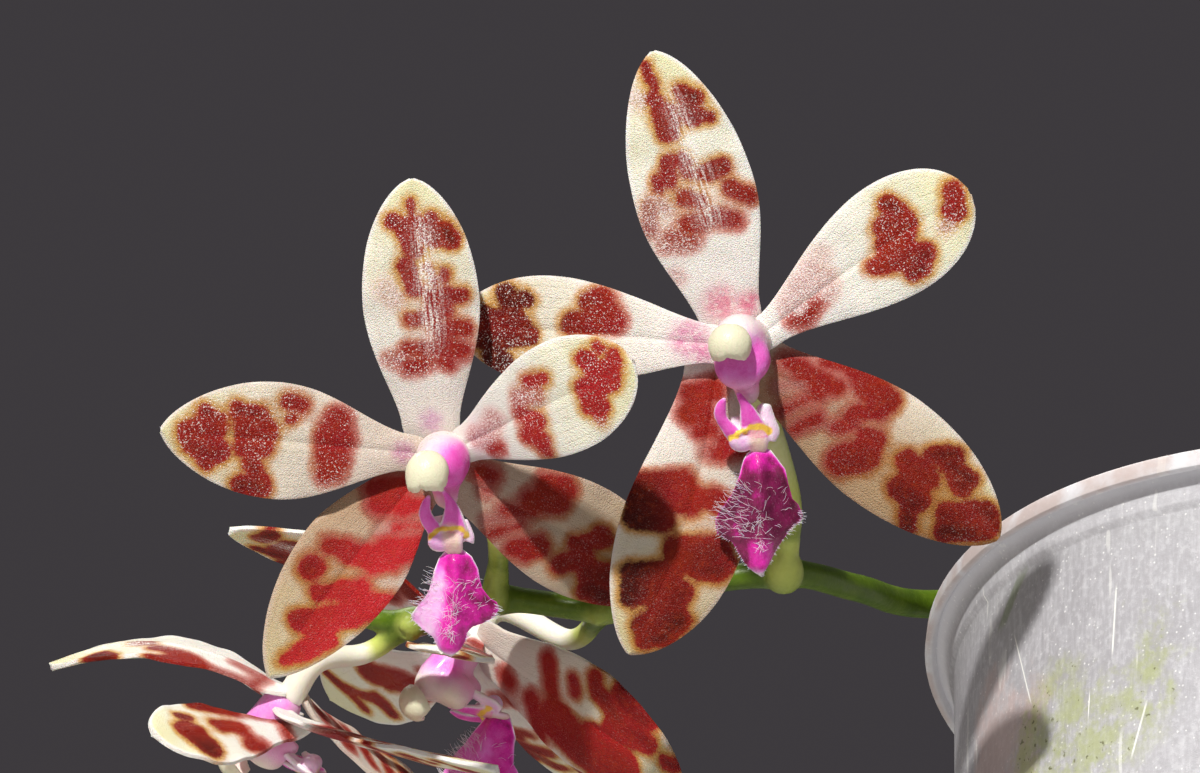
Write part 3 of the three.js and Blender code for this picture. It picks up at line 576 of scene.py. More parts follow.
def frosted_plastic():
    """Milky moulded plastic, scuffed and scratched, with patches of algae inside the wall and a stained rim,
    painted sparkle on its grains and a flange painted lighter for the light that comes through it.
    """
    bench = new_material("frosted_plastic", Roughness=0.4, IOR=1.49, Transmission_Weight=0.06,
                         Subsurface_Weight=0.32, Subsurface_Scale=0.002, Subsurface_Radius=(1.0, 0.95, 0.95),
                         Specular_IOR_Level=0.5, Coat_Weight=0.1, Coat_Roughness=0.3)
    here = bench.here()
    east, north, height = bench.put("SeparateXYZ", {"Vector": here}, ("X", "Y", "Z"))
    turn = bench.maths("ARCTAN2", north, east)
    flat = bench.put("CombineXYZ", {"X": east, "Y": north})
    radius = bench.put("VectorMath", {0: flat}, "Value", operation="LENGTH")
    ragged = bench.grain(here, 150.0, 6.0, 0.72)

    def near(places):
        found = []
        for *middle, wide in places:
            far = bench.put("VectorMath", {0: here, 1: [v * MM for v in middle]}, "Value", operation="DISTANCE")
            spot = (far + (ragged - 0.5) * 0.022).band(wide * MM, wide * 0.3 * MM)
            found = [bench.larger(*found, spot)] if found else [spot]
        return found[0]

    def streak(top, bottom, high, low, wide):
        slant = math.radians(top - bottom) / ((high - low) * MM)
        foot = math.radians(bottom) - slant * low * MM
        away = abs(turn - bench.maths("MULTIPLY_ADD", height, slant, foot))
        span = wide / WALL_AT_SCRATCHES
        ends = (height.band((low - 0.3) * MM, (low + 0.8) * MM) * height.band((high + 0.3) * MM, (high - 0.8) * MM))
        return away.band(span * 0.5, span * 0.25) * ends

    clouds, specks = bench.mottling(14.0, 0.5), bench.mottling(0.55, 1.2)
    brushed = bench.grain(here, 2400.0, 3.0, 0.6, stretch=0.12)
    # The flange is painted lighter, standing in for the light that comes through the thin plastic
    lit_flange = bench.blend(clouds, (0.74, 0.74, 0.79), (0.86, 0.86, 0.90))
    # Painted sparkle highlights on the plastic's grains
    grain_far, grain_own = bench.cells(here, 3300.0)
    grain_sparkle = grain_own.band(0.86, 0.95) * grain_far.band(0.4, 0.15)
    film = near(ALGAE) * bench.grain(here, 520.0, 4.0, 0.7).band(0.36, 0.62)
    grit = film.band(0.2, 0.7) * bench.grain(here, 1700.0, 2.0, 0.6).band(0.62, 0.7)
    lines = streak(*SCRATCHES[0])
    for scratch in SCRATCHES[1:]:
        lines = bench.larger(lines, streak(*scratch))
    hairlines = (bench.grain(here, 640.0, 2.0, 0.5, stretch=0.055).band(0.66, 0.69)
                 * bench.grain(here, 100.0, 2.0).band(0.5, 0.56))
    rim_stain = radius.band(*STAIN_REACH) * bench.grain(here, 300.0).band(0.3, 0.6)
    colour = bench.coats((0.40, 0.39, 0.42), (clouds, (0.56, 0.555, 0.59)),
                         (brushed.band(0.42, 0.7, 0.0, 0.28), (0.78, 0.78, 0.83)),
                         (specks.band(0.55, 1.0, 0.0, 0.2), (0.93, 0.93, 0.96)),
                         (specks.band(0.4, 0.0, 0.0, 0.16), (0.32, 0.31, 0.33)),
                         (radius.band(*FLANGE_REACH, 0.0, 0.85), lit_flange), (grain_sparkle * 0.75, WHITE),
                         (near(ROSY_STAINS) * 0.6, (0.62, 0.45, 0.42)), (film * 0.62, (0.44, 0.49, 0.17)),
                         (grit * 0.8, (0.12, 0.12, 0.04)), (streak(*GREEN_SMEAR) * 0.5, (0.20, 0.27, 0.09)),
                         (lines * ragged.band(0.3, 0.5, 0.4, 0.95), (1.0, 1.0, 0.96)),
                         (hairlines * 0.4, (1.0, 1.0, 0.98)), (rim_stain * 0.6, (0.48, 0.33, 0.28)))
    return bench.finish(Base_Color=colour, Normal=bench.bump(specks + brushed + lines * 2.0, 0.22, 0.1),
                        Roughness=clouds.band(0.0, 1.0, 0.34, 0.5))


def pale_floor():
    bench = new_material("pale_floor", Roughness=0.6)
    return bench.finish(Base_Color=bench.blend(bench.grain(bench.here(), 3.0), (0.62, 0.61, 0.59),
                                               (0.68, 0.67, 0.65)))


# Bars and blushes on the tepals, in millimetres along and across each blade from its root: a bar runs between
# two points with a radius and a strength, and a blush has a point, a radius and a strength.
MARKS = {
    (1, "sepal_dorsal"): ([(19.5, 0.9, 18.6, 0.8, 0.37, 1), (17.9, 0.6, 17.5, 0.7, 0.3, 0.9),
        (16.8, 0.9, 14.3, 0.8, 0.6, 1), (15.9, 0, 14.1, 0.2, 0.37, 0.8), (17, -1.2, 16.3, -2.1, 0.6, 1),
        (15.6, -1.4, 14.7, -1.5, 0.6, 1), (15, -2, 14.5, -2.7, 0.37, 1), (17.5, 2.4, 17, 1.9, 0.37, 0.3),
        (12.2, 1.3, 10.9, 1.6, 0.53, 1), (12, 0.2, 11.1, 0, 0.6, 1), (11.1, 2.5, 10.4, 2.5, 0.3, 0.8),
        (10.7, -1.3, 10.7, -2.5, 0.68, 1), (9.1, -2.7, 8.2, -3.8, 0.68, 1), (9.5, 3.6, 7.7, 4, 0.45, 0.5),
        (9.3, 2.7, 8.8, 2.3, 0.3, 0.4), (9.3, 0.9, 8.6, -0.2, 0.53, 0.95), (7.3, 1.1, 7.3, 0, 0.68, 0.9),
        (6.8, 2.6, 6.1, 1.2, 0.45, 0.6), (6.1, 3.3, 5.7, 1.4, 0.3, 0.5), (7.3, -1.1, 6.6, -2.3, 0.68, 1),
        (3.9, 3.1, 3.6, 3, 0.3, 0.35)], [(0.9, 0.4, 1.22, 0.6), (0.2, -1.6, 0.91, 0.9)]),
    (1, "petal_right"): ([(17, 0.8, 17, 0.2, 0.67, 1), (16.2, -0.5, 16.6, -0.8, 0.6, 0.85),
        (15.2, -1.3, 15.4, -1.4, 0.3, 0.4), (12.4, 2.4, 12.8, 1.7, 0.74, 0.8), (11.4, 1.1, 12.8, 0.4, 0.89, 0.8),
        (10.8, -0.2, 11.8, -0.2, 0.97, 0.85), (9, -1, 11.2, -1.9, 0.6, 1), (11.4, -1.5, 12.8, -2.2, 0.83, 1),
        (11.2, -2.8, 12, -3, 0.6, 1), (5.2, 1.7, 5.6, 0.6, 0.6, 0.35), (3.6, 1, 5.2, -0.1, 0.75, 0.35),
        (2.2, 0.5, 2.6, -0.3, 0.68, 0.35), (2.4, -1, 3.8, -0.7, 0.45, 0.85), (1.6, -0.6, 2, -1, 0.38, 0.8),
        (6.4, 2.2, 6.4, 2, 0.3, 0.3)], []),
    (1, "petal_left"): ([(15.7, -2.5, 14.9, -1.1, 0.76, 1), (17.5, -0.5, 14.2, 0.2, 0.92, 1),
        (17.2, 1.1, 13.6, 0.6, 0.76, 1), (16.2, 2.3, 15.1, 3.1, 0.91, 1), (14.2, -2.3, 13.8, -2, 0.46, 0.9),
        (10.3, -0.6, 7.3, -1.2, 0.91, 1), (9.3, -2.3, 8.2, -2.7, 0.75, 1), (7.5, -2.1, 7.3, -1, 0.53, 0.9)],
        [(1.5, -0.2, 1.27, 0.8), (0.4, 0.7, 0.75, 0.8)]),
    (1, "sepal_left"): ([(1.7, -1.7, 1.2, -0.1, 0.99, 1), (3.2, -1.7, 3, -0.4, 0.92, 1),
        (4.4, -0.7, 4.2, 0.3, 0.6, 0.9), (4.7, 1.2, 4.4, 2.5, 0.44, 0.95), (5.7, 1.3, 5.2, 2.5, 0.67, 1),
        (5.9, 0.2, 5.9, 0.6, 0.45, 0.5), (9.4, -4.1, 8.4, -1.1, 0.94, 1), (10.4, -4.2, 9.6, -0.2, 1.09, 1),
        (12.1, -3.8, 11.6, -1.7, 0.93, 1), (10.1, -0.2, 10.4, 0.2, 0.45, 1), (9.1, 1.3, 9.4, 2.7, 0.81, 1),
        (13.6, 0.2, 12.8, 2.6, 1.2, 1), (14.3, 1.8, 13.8, 3.7, 0.81, 1), (12.1, 3.1, 13.1, 4, 0.58, 1),
        (16.5, -2.5, 15, 0.4, 0.92, 1), (17.5, -1.9, 16.3, 1.5, 0.92, 1), (18.5, -2, 18.5, -1.5, 0.38, 0.8),
        (18, 0.5, 17, 1.2, 0.75, 1), (19.7, 0.1, 18.3, 2.1, 1.05, 1), (20.7, 0.6, 19.7, 1.9, 0.67, 1)], []),
    (1, "sepal_right"): ([(0.7, 1.2, 1.9, 1.4, 0.68, 0.9), (1.9, 1.2, 5, 1.7, 0.68, 1),
        (2.8, 1.3, 4, 0.6, 0.6, 0.8), (3.1, 2.8, 4.3, 3.3, 0.6, 1), (2.4, -2.2, 4.3, 1, 0.3, 0.8),
        (1.2, -0.6, 3.1, 1, 0.45, 0.45), (5.4, 3.6, 8.5, 3.2, 0.89, 1), (6.4, 2.9, 8.3, 2.6, 0.9, 1),
        (6.9, 0.8, 8.5, 1.9, 0.67, 0.9), (6.6, -0.8, 7.3, 0, 0.45, 0.7), (4, -2.7, 5, -1, 0.46, 0.95),
        (8.3, -2.6, 9.5, -1.3, 1.21, 1), (8.8, 0, 9.5, 0.2, 0.67, 0.8), (12.3, 0.2, 14.2, 0, 0.9, 1),
        (13, -1.5, 14.7, -1.6, 0.98, 1), (14.9, -3, 15.4, -3.5, 0.68, 0.9), (13.5, 1.7, 14.9, 2.8, 0.67, 1),
        (15.1, 2, 16.8, 2.1, 0.67, 1), (16.3, 1.3, 16.8, 1.2, 0.6, 1), (17, -1, 19.4, 0.8, 0.82, 1),
        (17.8, -2, 20.1, 0, 0.9, 1), (18.5, 0.7, 19.9, 0.8, 0.52, 1)], []),
    (3, "sepal_dorsal"): ([(16.5, 0.2, 15.3, 0.2, 0.3, 0.9), (15.3, 1.7, 14.8, 0.5, 0.52, 0.75),
        (14.6, 0.8, 13.4, 0.4, 0.6, 1), (15, -0.3, 13.8, -1.3, 0.6, 0.7), (15.3, -1.2, 13.8, -1.6, 0.52, 0.8),
        (14.4, -2.2, 13.6, -2.6, 0.68, 1), (13.2, 0.4, 13, 0, 0.38, 0.9), (11.8, 1, 10.2, 0.4, 0.6, 1),
        (11.6, -0.8, 10.6, -1.1, 0.3, 0.7), (11.2, -1.9, 11, -1.9, 0.45, 1), (10.4, 2.6, 9.6, 2.2, 0.53, 0.3),
        (7.9, 0.9, 7.9, -0.2, 0.45, 0.9), (9.4, -0.9, 7.3, -1.1, 0.45, 0.85), (9.4, -2, 9.4, -3, 0.6, 1),
        (8.3, -1.7, 8.3, -1.9, 0.45, 1), (7.1, -2.1, 6.9, -3.1, 0.61, 1), (6.9, -1.2, 6.5, -1.4, 0.46, 0.9),
        (5.7, 1.2, 5.3, -1.1, 0.53, 0.8), (5.1, 2.6, 5.1, 1.8, 0.38, 0.5), (4.3, 1.2, 4.5, 0, 0.61, 0.8),
        (5.5, -1.5, 5.3, -2.8, 0.76, 1), (4.5, -1, 4.3, -1.7, 0.46, 0.9)], [(0, 0, 0.77, 0.5)]),
    (3, "petal_left"): ([(15, -1.7, 14, -1.2, 0.6, 1), (16, 0.1, 14.4, -0.3, 0.97, 1),
        (15.6, 0.8, 14, 1.1, 0.97, 1), (14.8, 2.1, 14.6, 2.3, 0.37, 0.9), (12.5, -2, 11.1, -1.9, 0.67, 1),
        (11.9, -0.6, 10.3, -0.6, 0.9, 1), (11.9, 0.6, 10.5, 0.6, 0.75, 1), (11.3, 1.9, 10.9, 2.3, 0.67, 1),
        (11.9, 3.5, 10.3, 3.5, 0.75, 1), (8.9, -3, 7.9, -2.9, 0.6, 1), (8.7, -1.7, 8.5, -1.7, 0.37, 0.8),
        (5.3, -2.2, 4.9, -2, 0.75, 1), (5.7, -0.7, 4.7, -0.5, 1.05, 1), (5.7, 0.7, 4.9, 1, 0.97, 1),
        (5.7, 2.2, 5.1, 2, 0.67, 1)], [(0, 0, 0.75, 0.8)]),
    (3, "petal_right"): ([(13.8, 1.8, 14, 0.9, 0.7, 0.85), (12.8, 0, 14, -0.4, 0.7, 0.9),
        (12.5, -0.8, 13.4, -1.3, 0.55, 0.9), (12.1, -1.6, 13.4, -2.1, 0.47, 1), (12.5, -2.6, 12.7, -2.8, 0.31, 0.5),
        (16.1, 1.3, 15.9, 0.5, 0.38, 1), (15.1, 0.5, 15.1, -0.2, 0.61, 1), (14.5, -0.7, 14.9, -0.8, 0.46, 0.8),
        (15.1, 2.3, 15.3, 2, 0.23, 0.8), (8.7, 2.2, 10, 1.9, 0.49, 0.85), (7.2, 1.3, 8.7, 1, 0.67, 0.5),
        (6.8, 0, 7.9, -0.8, 0.68, 0.85), (6.6, -1.4, 7.6, -2.3, 0.68, 1), (7, -2.9, 7.4, -3.2, 0.42, 0.9),
        (2.8, 0.1, 4, 0.7, 0.64, 0.4), (1.5, 0.2, 2.5, -0.5, 0.56, 0.4), (2.6, -1.2, 3.4, -1.4, 0.46, 0.9)], []),
    (3, "sepal_left"): ([(2, -2.1, 0.4, -0.5, 0.75, 1), (2.8, -1.1, 1.6, 0.3, 0.83, 1),
        (1.8, 0.7, 0.8, 1.4, 0.53, 0.9), (3.4, 1, 2, 2.4, 0.3, 0.8), (4.2, 0.2, 3.6, 0.7, 0.3, 0.3),
        (7.4, -2, 6.8, -1, 0.67, 1), (7, -0.4, 5.8, 1.4, 0.82, 1), (5, 1.3, 3, 3.1, 0.6, 0.95),
        (5.2, 2.5, 3.8, 3.4, 0.68, 0.9), (6.8, 1.6, 5.8, 2.6, 0.45, 0.9), (9.5, -2.2, 9.3, -2, 0.89, 1),
        (10.7, -0.6, 9.3, 0.8, 0.6, 0.95), (9.5, 1, 8.6, 1.8, 0.75, 0.95), (9.3, 2.2, 8, 4.1, 0.6, 0.95),
        (10.3, 2.5, 9, 4, 0.68, 0.95), (13.1, -0.6, 12.5, 0.3, 0.82, 1), (11.7, 0.9, 10.5, 2.1, 0.6, 0.95),
        (11.9, 1.8, 10.9, 2.6, 0.53, 0.9), (13.3, 0.8, 12.9, 1, 0.37, 0.8), (16.1, 0.2, 14.5, 1.3, 0.52, 1),
        (14.9, 1.1, 13.1, 2.2, 0.6, 1), (13.3, 1.2, 12.1, 1.9, 0.38, 0.9)], []),
    (3, "sepal_right"): ([(0.4, 1.1, 1.5, 1.2, 0.69, 0.8), (1.5, 0.1, 1.7, 0.1, 0.46, 0.6),
        (5.6, 2.4, 7.1, 2.9, 0.93, 1), (5, 0.9, 7.3, 1.7, 0.77, 0.9), (3.7, -0.6, 5.4, 0.2, 0.61, 0.7),
        (2.6, -2, 3.9, -1, 0.23, 0.5), (3.4, -2.8, 5.2, -1.1, 0.38, 0.8), (5.6, -2.8, 7.3, -1.7, 0.69, 0.95),
        (6.7, -2.8, 7.5, -2.1, 0.62, 0.95), (9.5, -2.4, 11.2, -1.1, 0.7, 0.8), (9.9, -0.4, 11.9, 0.8, 0.7, 0.8),
        (11.9, -1.7, 13.4, -1.4, 0.94, 0.85), (12.7, -3, 14.2, -2.9, 0.94, 0.85), (11, 1.3, 11.6, 1.5, 0.39, 0.7)],
        []),
    (2, "sepal_dorsal"): ([(16.3, -0.8, 15.7, -2.3, 0.73, 0.9), (16.1, 1.7, 15, 1.8, 0.64, 0.8),
        (14, 0.7, 13.4, -0.8, 1.59, 1), (13.2, 3.4, 12.1, 3.6, 1.1, 1), (4.2, -3.5, 3.1, -3.1, 1.5, 0.9),
        (10.4, -2.2, 8.8, 0, 1.74, 1), (7.5, -4.4, 5.6, -0.2, 1.5, 1)], []),
    (2, "sepal_right"): ([(5.7, 2.7, 6.6, 0.4, 0.81, 1), (8.5, 2.6, 8.9, 1.9, 0.61, 0.8),
        (10.5, 4.2, 11, 2.9, 0.62, 0.8), (13.7, 4.3, 15.8, 4, 1.45, 1), (1.8, -1.1, 2.3, -1.3, 0.79, 0.9),
        (5, -1.6, 6.4, -4.1, 0.89, 1), (7.6, -1.8, 13.5, -3, 1.78, 1), (11.7, -1.2, 15.3, -1.7, 1.59, 1),
        (11.7, 2.9, 13.5, 2.1, 0.82, 0.7), (13.3, 0.9, 16.7, 1.8, 1.01, 0.9), (18.8, 1.3, 19.7, 1.5, 0.62, 0.9),
        (2.1, -2.9, 3.2, -3.3, 0.39, 0.4)], []),
    (2, "sepal_left"): ([(7.8, -3.6, 8.7, -3, 0.91, 0.9), (11.4, -3.5, 12.8, -2.7, 0.66, 0.6),
        (11, -4.7, 11.9, -4.6, 1.17, 0.9)], []),
    (2, "petal_left"): ([(8.6, -1.6, 6.2, 0.2, 1.45, 1), (13.6, -0.6, 10.8, 1.5, 0.5, 0.7)], []),
    (2, "petal_right"): ([(0, -0.4, 0, -1.2, 1.05, 0.8), (0, -1.2, 5.6, -2.9, 0.75, 0.6)], []),
    (4, "sepal_dorsal"): ([(12.9, -3, 12.1, -4, 1.05, 0.95), (10.3, -0.4, 9.5, -0.4, 0.6, 0.8),
        (8.4, -1.8, 7, -2.1, 0.75, 0.9), (8, -4.4, 6.8, -3.8, 0.72, 0.8), (6.2, -2.9, 4.8, -3.7, 1.15, 1),
        (3.2, -3.2, 1, -2.4, 0.33, 0.5), (2.4, -0.3, 0, -0.6, 0.45, 0.5), (0.2, -2.2, 0, 0, 0.38, 0.6)], []),
    (4, "petal_right"): ([(6, 3.5, 4.7, 3.1, 1.15, 1), (4.7, 3.1, 3.6, 2.6, 1.04, 1),
        (9.2, 1.8, 8.7, 1.4, 0.46, 0.8), (9.6, 0, 8.7, -1.8, 1.09, 1), (9.5, -0.9, 8.5, -2.4, 0.74, 1),
        (6.2, 0.4, 4.6, 0.2, 0.78, 1), (4.4, -0.4, 4, -1.3, 0.43, 0.8), (4.4, -1.9, 3.3, -2.1, 0.62, 1),
        (2, 1.9, 1, 1.5, 0.39, 0.6), (0.1, 1.1, 0, -1.1, 0.39, 0.7)], []),
    (4, "sepal_right"): ([(5, 2.2, 8.2, 3.9, 1.05, 0.9), (10.9, 4.5, 11.6, -1.1, 0.45, 0.8)], []),
    (4, "sepal_left"): ([(0, 0.1, 0.7, 0.7, 0.6, 0.7), (8, -4.3, 11.4, -4.5, 0.45, 0.7)], []),
}


# ---- Blades: tepals, lobes and leaves ------------------------------------------------------------------------

def blade(angle, length, width, root=(0, 0, 0), base=0.5, widest=0.5, tip=0.6, lift=0, curl=0, cup=0, sweep=0,
          roll=0, fold=0, steps=10):
    """A blade's form. Angle, lift, curl, sweep and roll are degrees, and base, widest, tip, cup and fold shares."""
    return dict(root=root, angle=angle, length=length, width=width, base=base, widest=widest, tip=tip, lift=lift,
                curl=curl, cup=cup, sweep=sweep, roll=roll, fold=fold, steps=steps)


def outline_of(spec, along):
    """Half the blade's width at each share of its length, as a share of the widest half."""
    along = np.maximum(along, 0)
    rising = spec["base"] + (1 - spec["base"]) * np.sin(np.pi / 2 * np.minimum(along / spec["widest"], 1)) ** 1.4
    falling = np.maximum(1 - ((along - spec["widest"]) / (1 - spec["widest"])) ** 2, 0) ** spec["tip"]
    return np.where(along < spec["widest"], rising, falling)


def midrib_of(spec, cuts=240):
    shares = np.linspace(0, 1, cuts + 1)
    turned = np.minimum(1, shares + 0.5 / spec["steps"])
    heading = np.radians(spec["angle"] + spec["sweep"] * (turned - 0.5))
    rise = np.radians(spec["lift"] + spec["curl"] * turned)
    way = np.stack([np.cos(rise) * np.cos(heading), np.cos(rise) * np.sin(heading), np.sin(rise)], 1)
    place = np.vstack([[0, 0, 0], np.cumsum(way[1:], 0) * spec["length"] / cuts]) + np.array(spec["root"], float)
    side = np.stack([-np.sin(heading), np.cos(heading), np.zeros_like(heading)], 1)
    face = np.cross(way, side)
    turn = math.radians(spec["roll"])
    side = side * math.cos(turn) + face * math.sin(turn)
    return shares, place, side, np.cross(way, side)


def bend_blade(spec, along, across, least=0.16):
    """Points of the blade's middle surface, with the half width and the face direction at each."""
    shares, place, side, face = midrib_of(spec)
    half = np.maximum(spec["width"] / 2 * outline_of(spec, np.minimum(along, 0.9995)), least)
    lift = half * (spec["cup"] * across ** 2 + spec["fold"] * np.abs(across))
    faces = read_track(along, shares, face)
    before = np.minimum(along, 0) * spec["length"]
    points = read_track(along, shares, place) + before[:, None] * unit(place[1] - place[0])
    sides = read_track(along, shares, side)
    return points + sides * (across * half)[:, None] + faces * lift[:, None], half, faces


def cut_sheet(name, rows, columns):
    """A flat blank. Its own length and width become the blade's along and across."""
    sheet = start_with(bpy.ops.mesh.primitive_grid_add, name, x_subdivisions=rows, y_subdivisions=columns, size=1)
    flat = points_of(sheet)
    return sheet, flat[:, 0] + 0.5, flat[:, 1] * 2


def thicken(sheet, thickness, edge_share, across, rim):
    """Gives a sheet its body, thinner at the margin, with a rounded rim."""
    group = sheet.vertex_groups.new(name="body")
    for i, share in enumerate(1 - np.abs(across) ** 2.2):
        group.add([i], float(share), "REPLACE")
    body = sheet.modifiers.new("body", "SOLIDIFY")
    body.thickness, body.offset = thickness * MM, 0
    body.vertex_group, body.thickness_vertex_group = "body", edge_share
    body.material_offset, body.material_offset_rim = 1, 0
    round_edges(sheet, rim, 2, 50)
    apply_modifiers(sheet)
    sheet.vertex_groups.clear()


# How sharply the bars near a point share it out between them
BAR_PULL = 5


def nearest_bars(x, y, bars):
    """How far each point lies outside the nearest bar, and how strong the bars about it are."""
    pull, strength = np.zeros_like(x), np.zeros_like(x)
    for x1, y1, x2, y2, radius, depth in bars:
        dx, dy = x2 - x1, y2 - y1
        share = np.clip(((x - x1) * dx + (y - y1) * dy) / max(dx * dx + dy * dy, 1e-6), 0, 1)
        gap = np.hypot(x - x1 - share * dx, y - y1 - share * dy) - radius
        weight = np.exp(-np.clip(gap, -2, 3) * BAR_PULL)
        pull += weight
        strength += weight * depth
    return -np.log(np.maximum(pull, 1e-7)) / BAR_PULL, strength / np.maximum(pull, 1e-7)


# How far the sepals' and the petals' roots stand forward
SEPAL, PETAL = -0.45, 0.75
# The blooms, numbered from the pot outwards. Each has its place and turn in the spray's frame, how its column
# leans, where the column's foot is, and its tepals.
BLOOMS = {
    1: dict(place=(10.65, 3.1, 0), face=(0, 0, 1), crest=(0, 1, 0), lean=(-0.7, 0.3), foot=(0.45, -4.2, 1.9),
            tepals=dict(
                sepal_dorsal=blade(106.5, 20.4, 9.1, (-0.95, 2.5, SEPAL), 0.52, 0.45, 0.66, 14, -6, 0.05),
                petal_right=blade(35, 18, 8.7, (2.2, 1.3, PETAL), 0.3, 0.66, 0.5, 14, -8, 0.06, -8),
                petal_left=blade(175, 19.4, 8.1, (-2.5, 0.1, PETAL), 0.36, 0.62, 0.6, -2, -12, 0.06),
                sepal_left=blade(-106, 22.2, 9.5, (-2, -2.2, SEPAL), 0.5, 0.55, 0.68, 4, -6, 0.05, -24, fold=0.05),
                sepal_right=blade(-36, 21.3, 8.9, (2.1, -1.9, SEPAL), 0.5, 0.5, 0.64, 10, -8, -0.04, -8,
                                  fold=-0.08))),
    2: dict(place=(-10.9, -21.3, -34.5), face=(-0.55, -0.72, 0.42), crest=(-0.8, 0.6, -0.02), lean=(-0.2, 0.4),
            foot=(-0.9, -2.2, 1.8),
            tepals=dict(
                sepal_dorsal=blade(90, 18.8, 9, (0, 2.5, SEPAL), 0.5, 0.48, 0.64, -3, 38, 0.06, steps=9),
                petal_right=blade(5, 15.4, 7, (2.8, -0.1, PETAL), 0.34, 0.62, 0.6, 32, -6, 0.08, roll=24, steps=9),
                petal_left=blade(160, 18, 8.4, (-2.6, 0.6, PETAL), 0.34, 0.6, 0.6, 12, -8, 0.06, steps=9),
                sepal_right=blade(-60, 20.6, 9.8, (2.4, -2.1, SEPAL), 0.5, 0.5, 0.62, 10, 6, 0.05, roll=-30,
                                  steps=9),
                sepal_left=blade(-126, 20.6, 9.4, (-2.1, -2.1, SEPAL), 0.5, 0.5, 0.66, 0, -6, 0.05, steps=9))),
    3: dict(place=(-12.2, -4.9, 0), face=(0, 0, 1), crest=(0, 1, 0), lean=(-0.9, -1.7), foot=(0.35, -4.4, 1.9),
            tepals=dict(
                sepal_dorsal=blade(94.3, 18.3, 8.7, (-0.5, 2.4, SEPAL), 0.5, 0.5, 0.6, 18, -8, 0.05),
                petal_right=blade(26, 17, 8.4, (2.4, 0.7, PETAL), 0.34, 0.64, 0.5, 54, -32, 0.05),
                petal_left=blade(174.7, 18.2, 8.7, (-2.6, 0, PETAL), 0.32, 0.52, 0.7, 12, -4, 0.06),
                sepal_left=blade(-127, 17.9, 8.2, (-1.9, -2.5, SEPAL), 0.55, 0.42, 0.74, 10, -2, 0.05, 6),
                sepal_right=blade(-28, 19.4, 8.7, (2.2, -2.2, SEPAL), 0.5, 0.5, 0.68, -14, -10, 0.04))),
    4: dict(place=(-25.1, -25.3, -26), face=(-0.58, -0.78, -0.22), crest=(-0.79, 0.61, -0.08), lean=(0, 0.3),
            foot=(0, -2.3, 1.8),
            tepals=dict(
                sepal_dorsal=blade(90, 17.5, 8.8, (0, 2.5, SEPAL), 0.5, 0.48, 0.64, 2, 67, 0.06, steps=9),
                petal_right=blade(34, 12.9, 7.4, (3, -1.3, PETAL), 0.34, 0.6, 0.6, 16, 2, 0.1, steps=9),
                petal_left=blade(162, 17.5, 8.4, (-2.6, 0.6, PETAL), 0.34, 0.6, 0.6, 16, 4, 0.1, steps=9),
                sepal_right=blade(-56, 20.5, 9, (2.1, -2.3, SEPAL), 0.5, 0.5, 0.66, -24, 0, 0.05, steps=9),
                sepal_left=blade(-128, 20.5, 9, (-2.1, -2.1, SEPAL), 0.5, 0.5, 0.66, 15, -4, 0.05, steps=9))),
}


def bloom_axes(bloom):
    face = unit(np.array(bloom["face"], float))
    across = unit(np.cross(bloom["crest"], face))
    return across, np.cross(face, across), face


def from_bloom(bloom, points):
    """From a bloom's own frame to the part's, in millimetres."""
    across, crest, face = bloom_axes(bloom)
    points = np.asarray(points, float)
    return from_spray(np.array(bloom["place"]) + points[..., 0:1] * across + points[..., 1:2] * crest
                      + points[..., 2:3] * face)


# Each blade's mesh is this fine, and its root runs this far on into the column
TEPAL_MESH, TEPAL_ROOT = 0.27, 2.3
TEPAL_THICKNESS, TEPAL_EDGE_SHARE = 0.72, 0.42


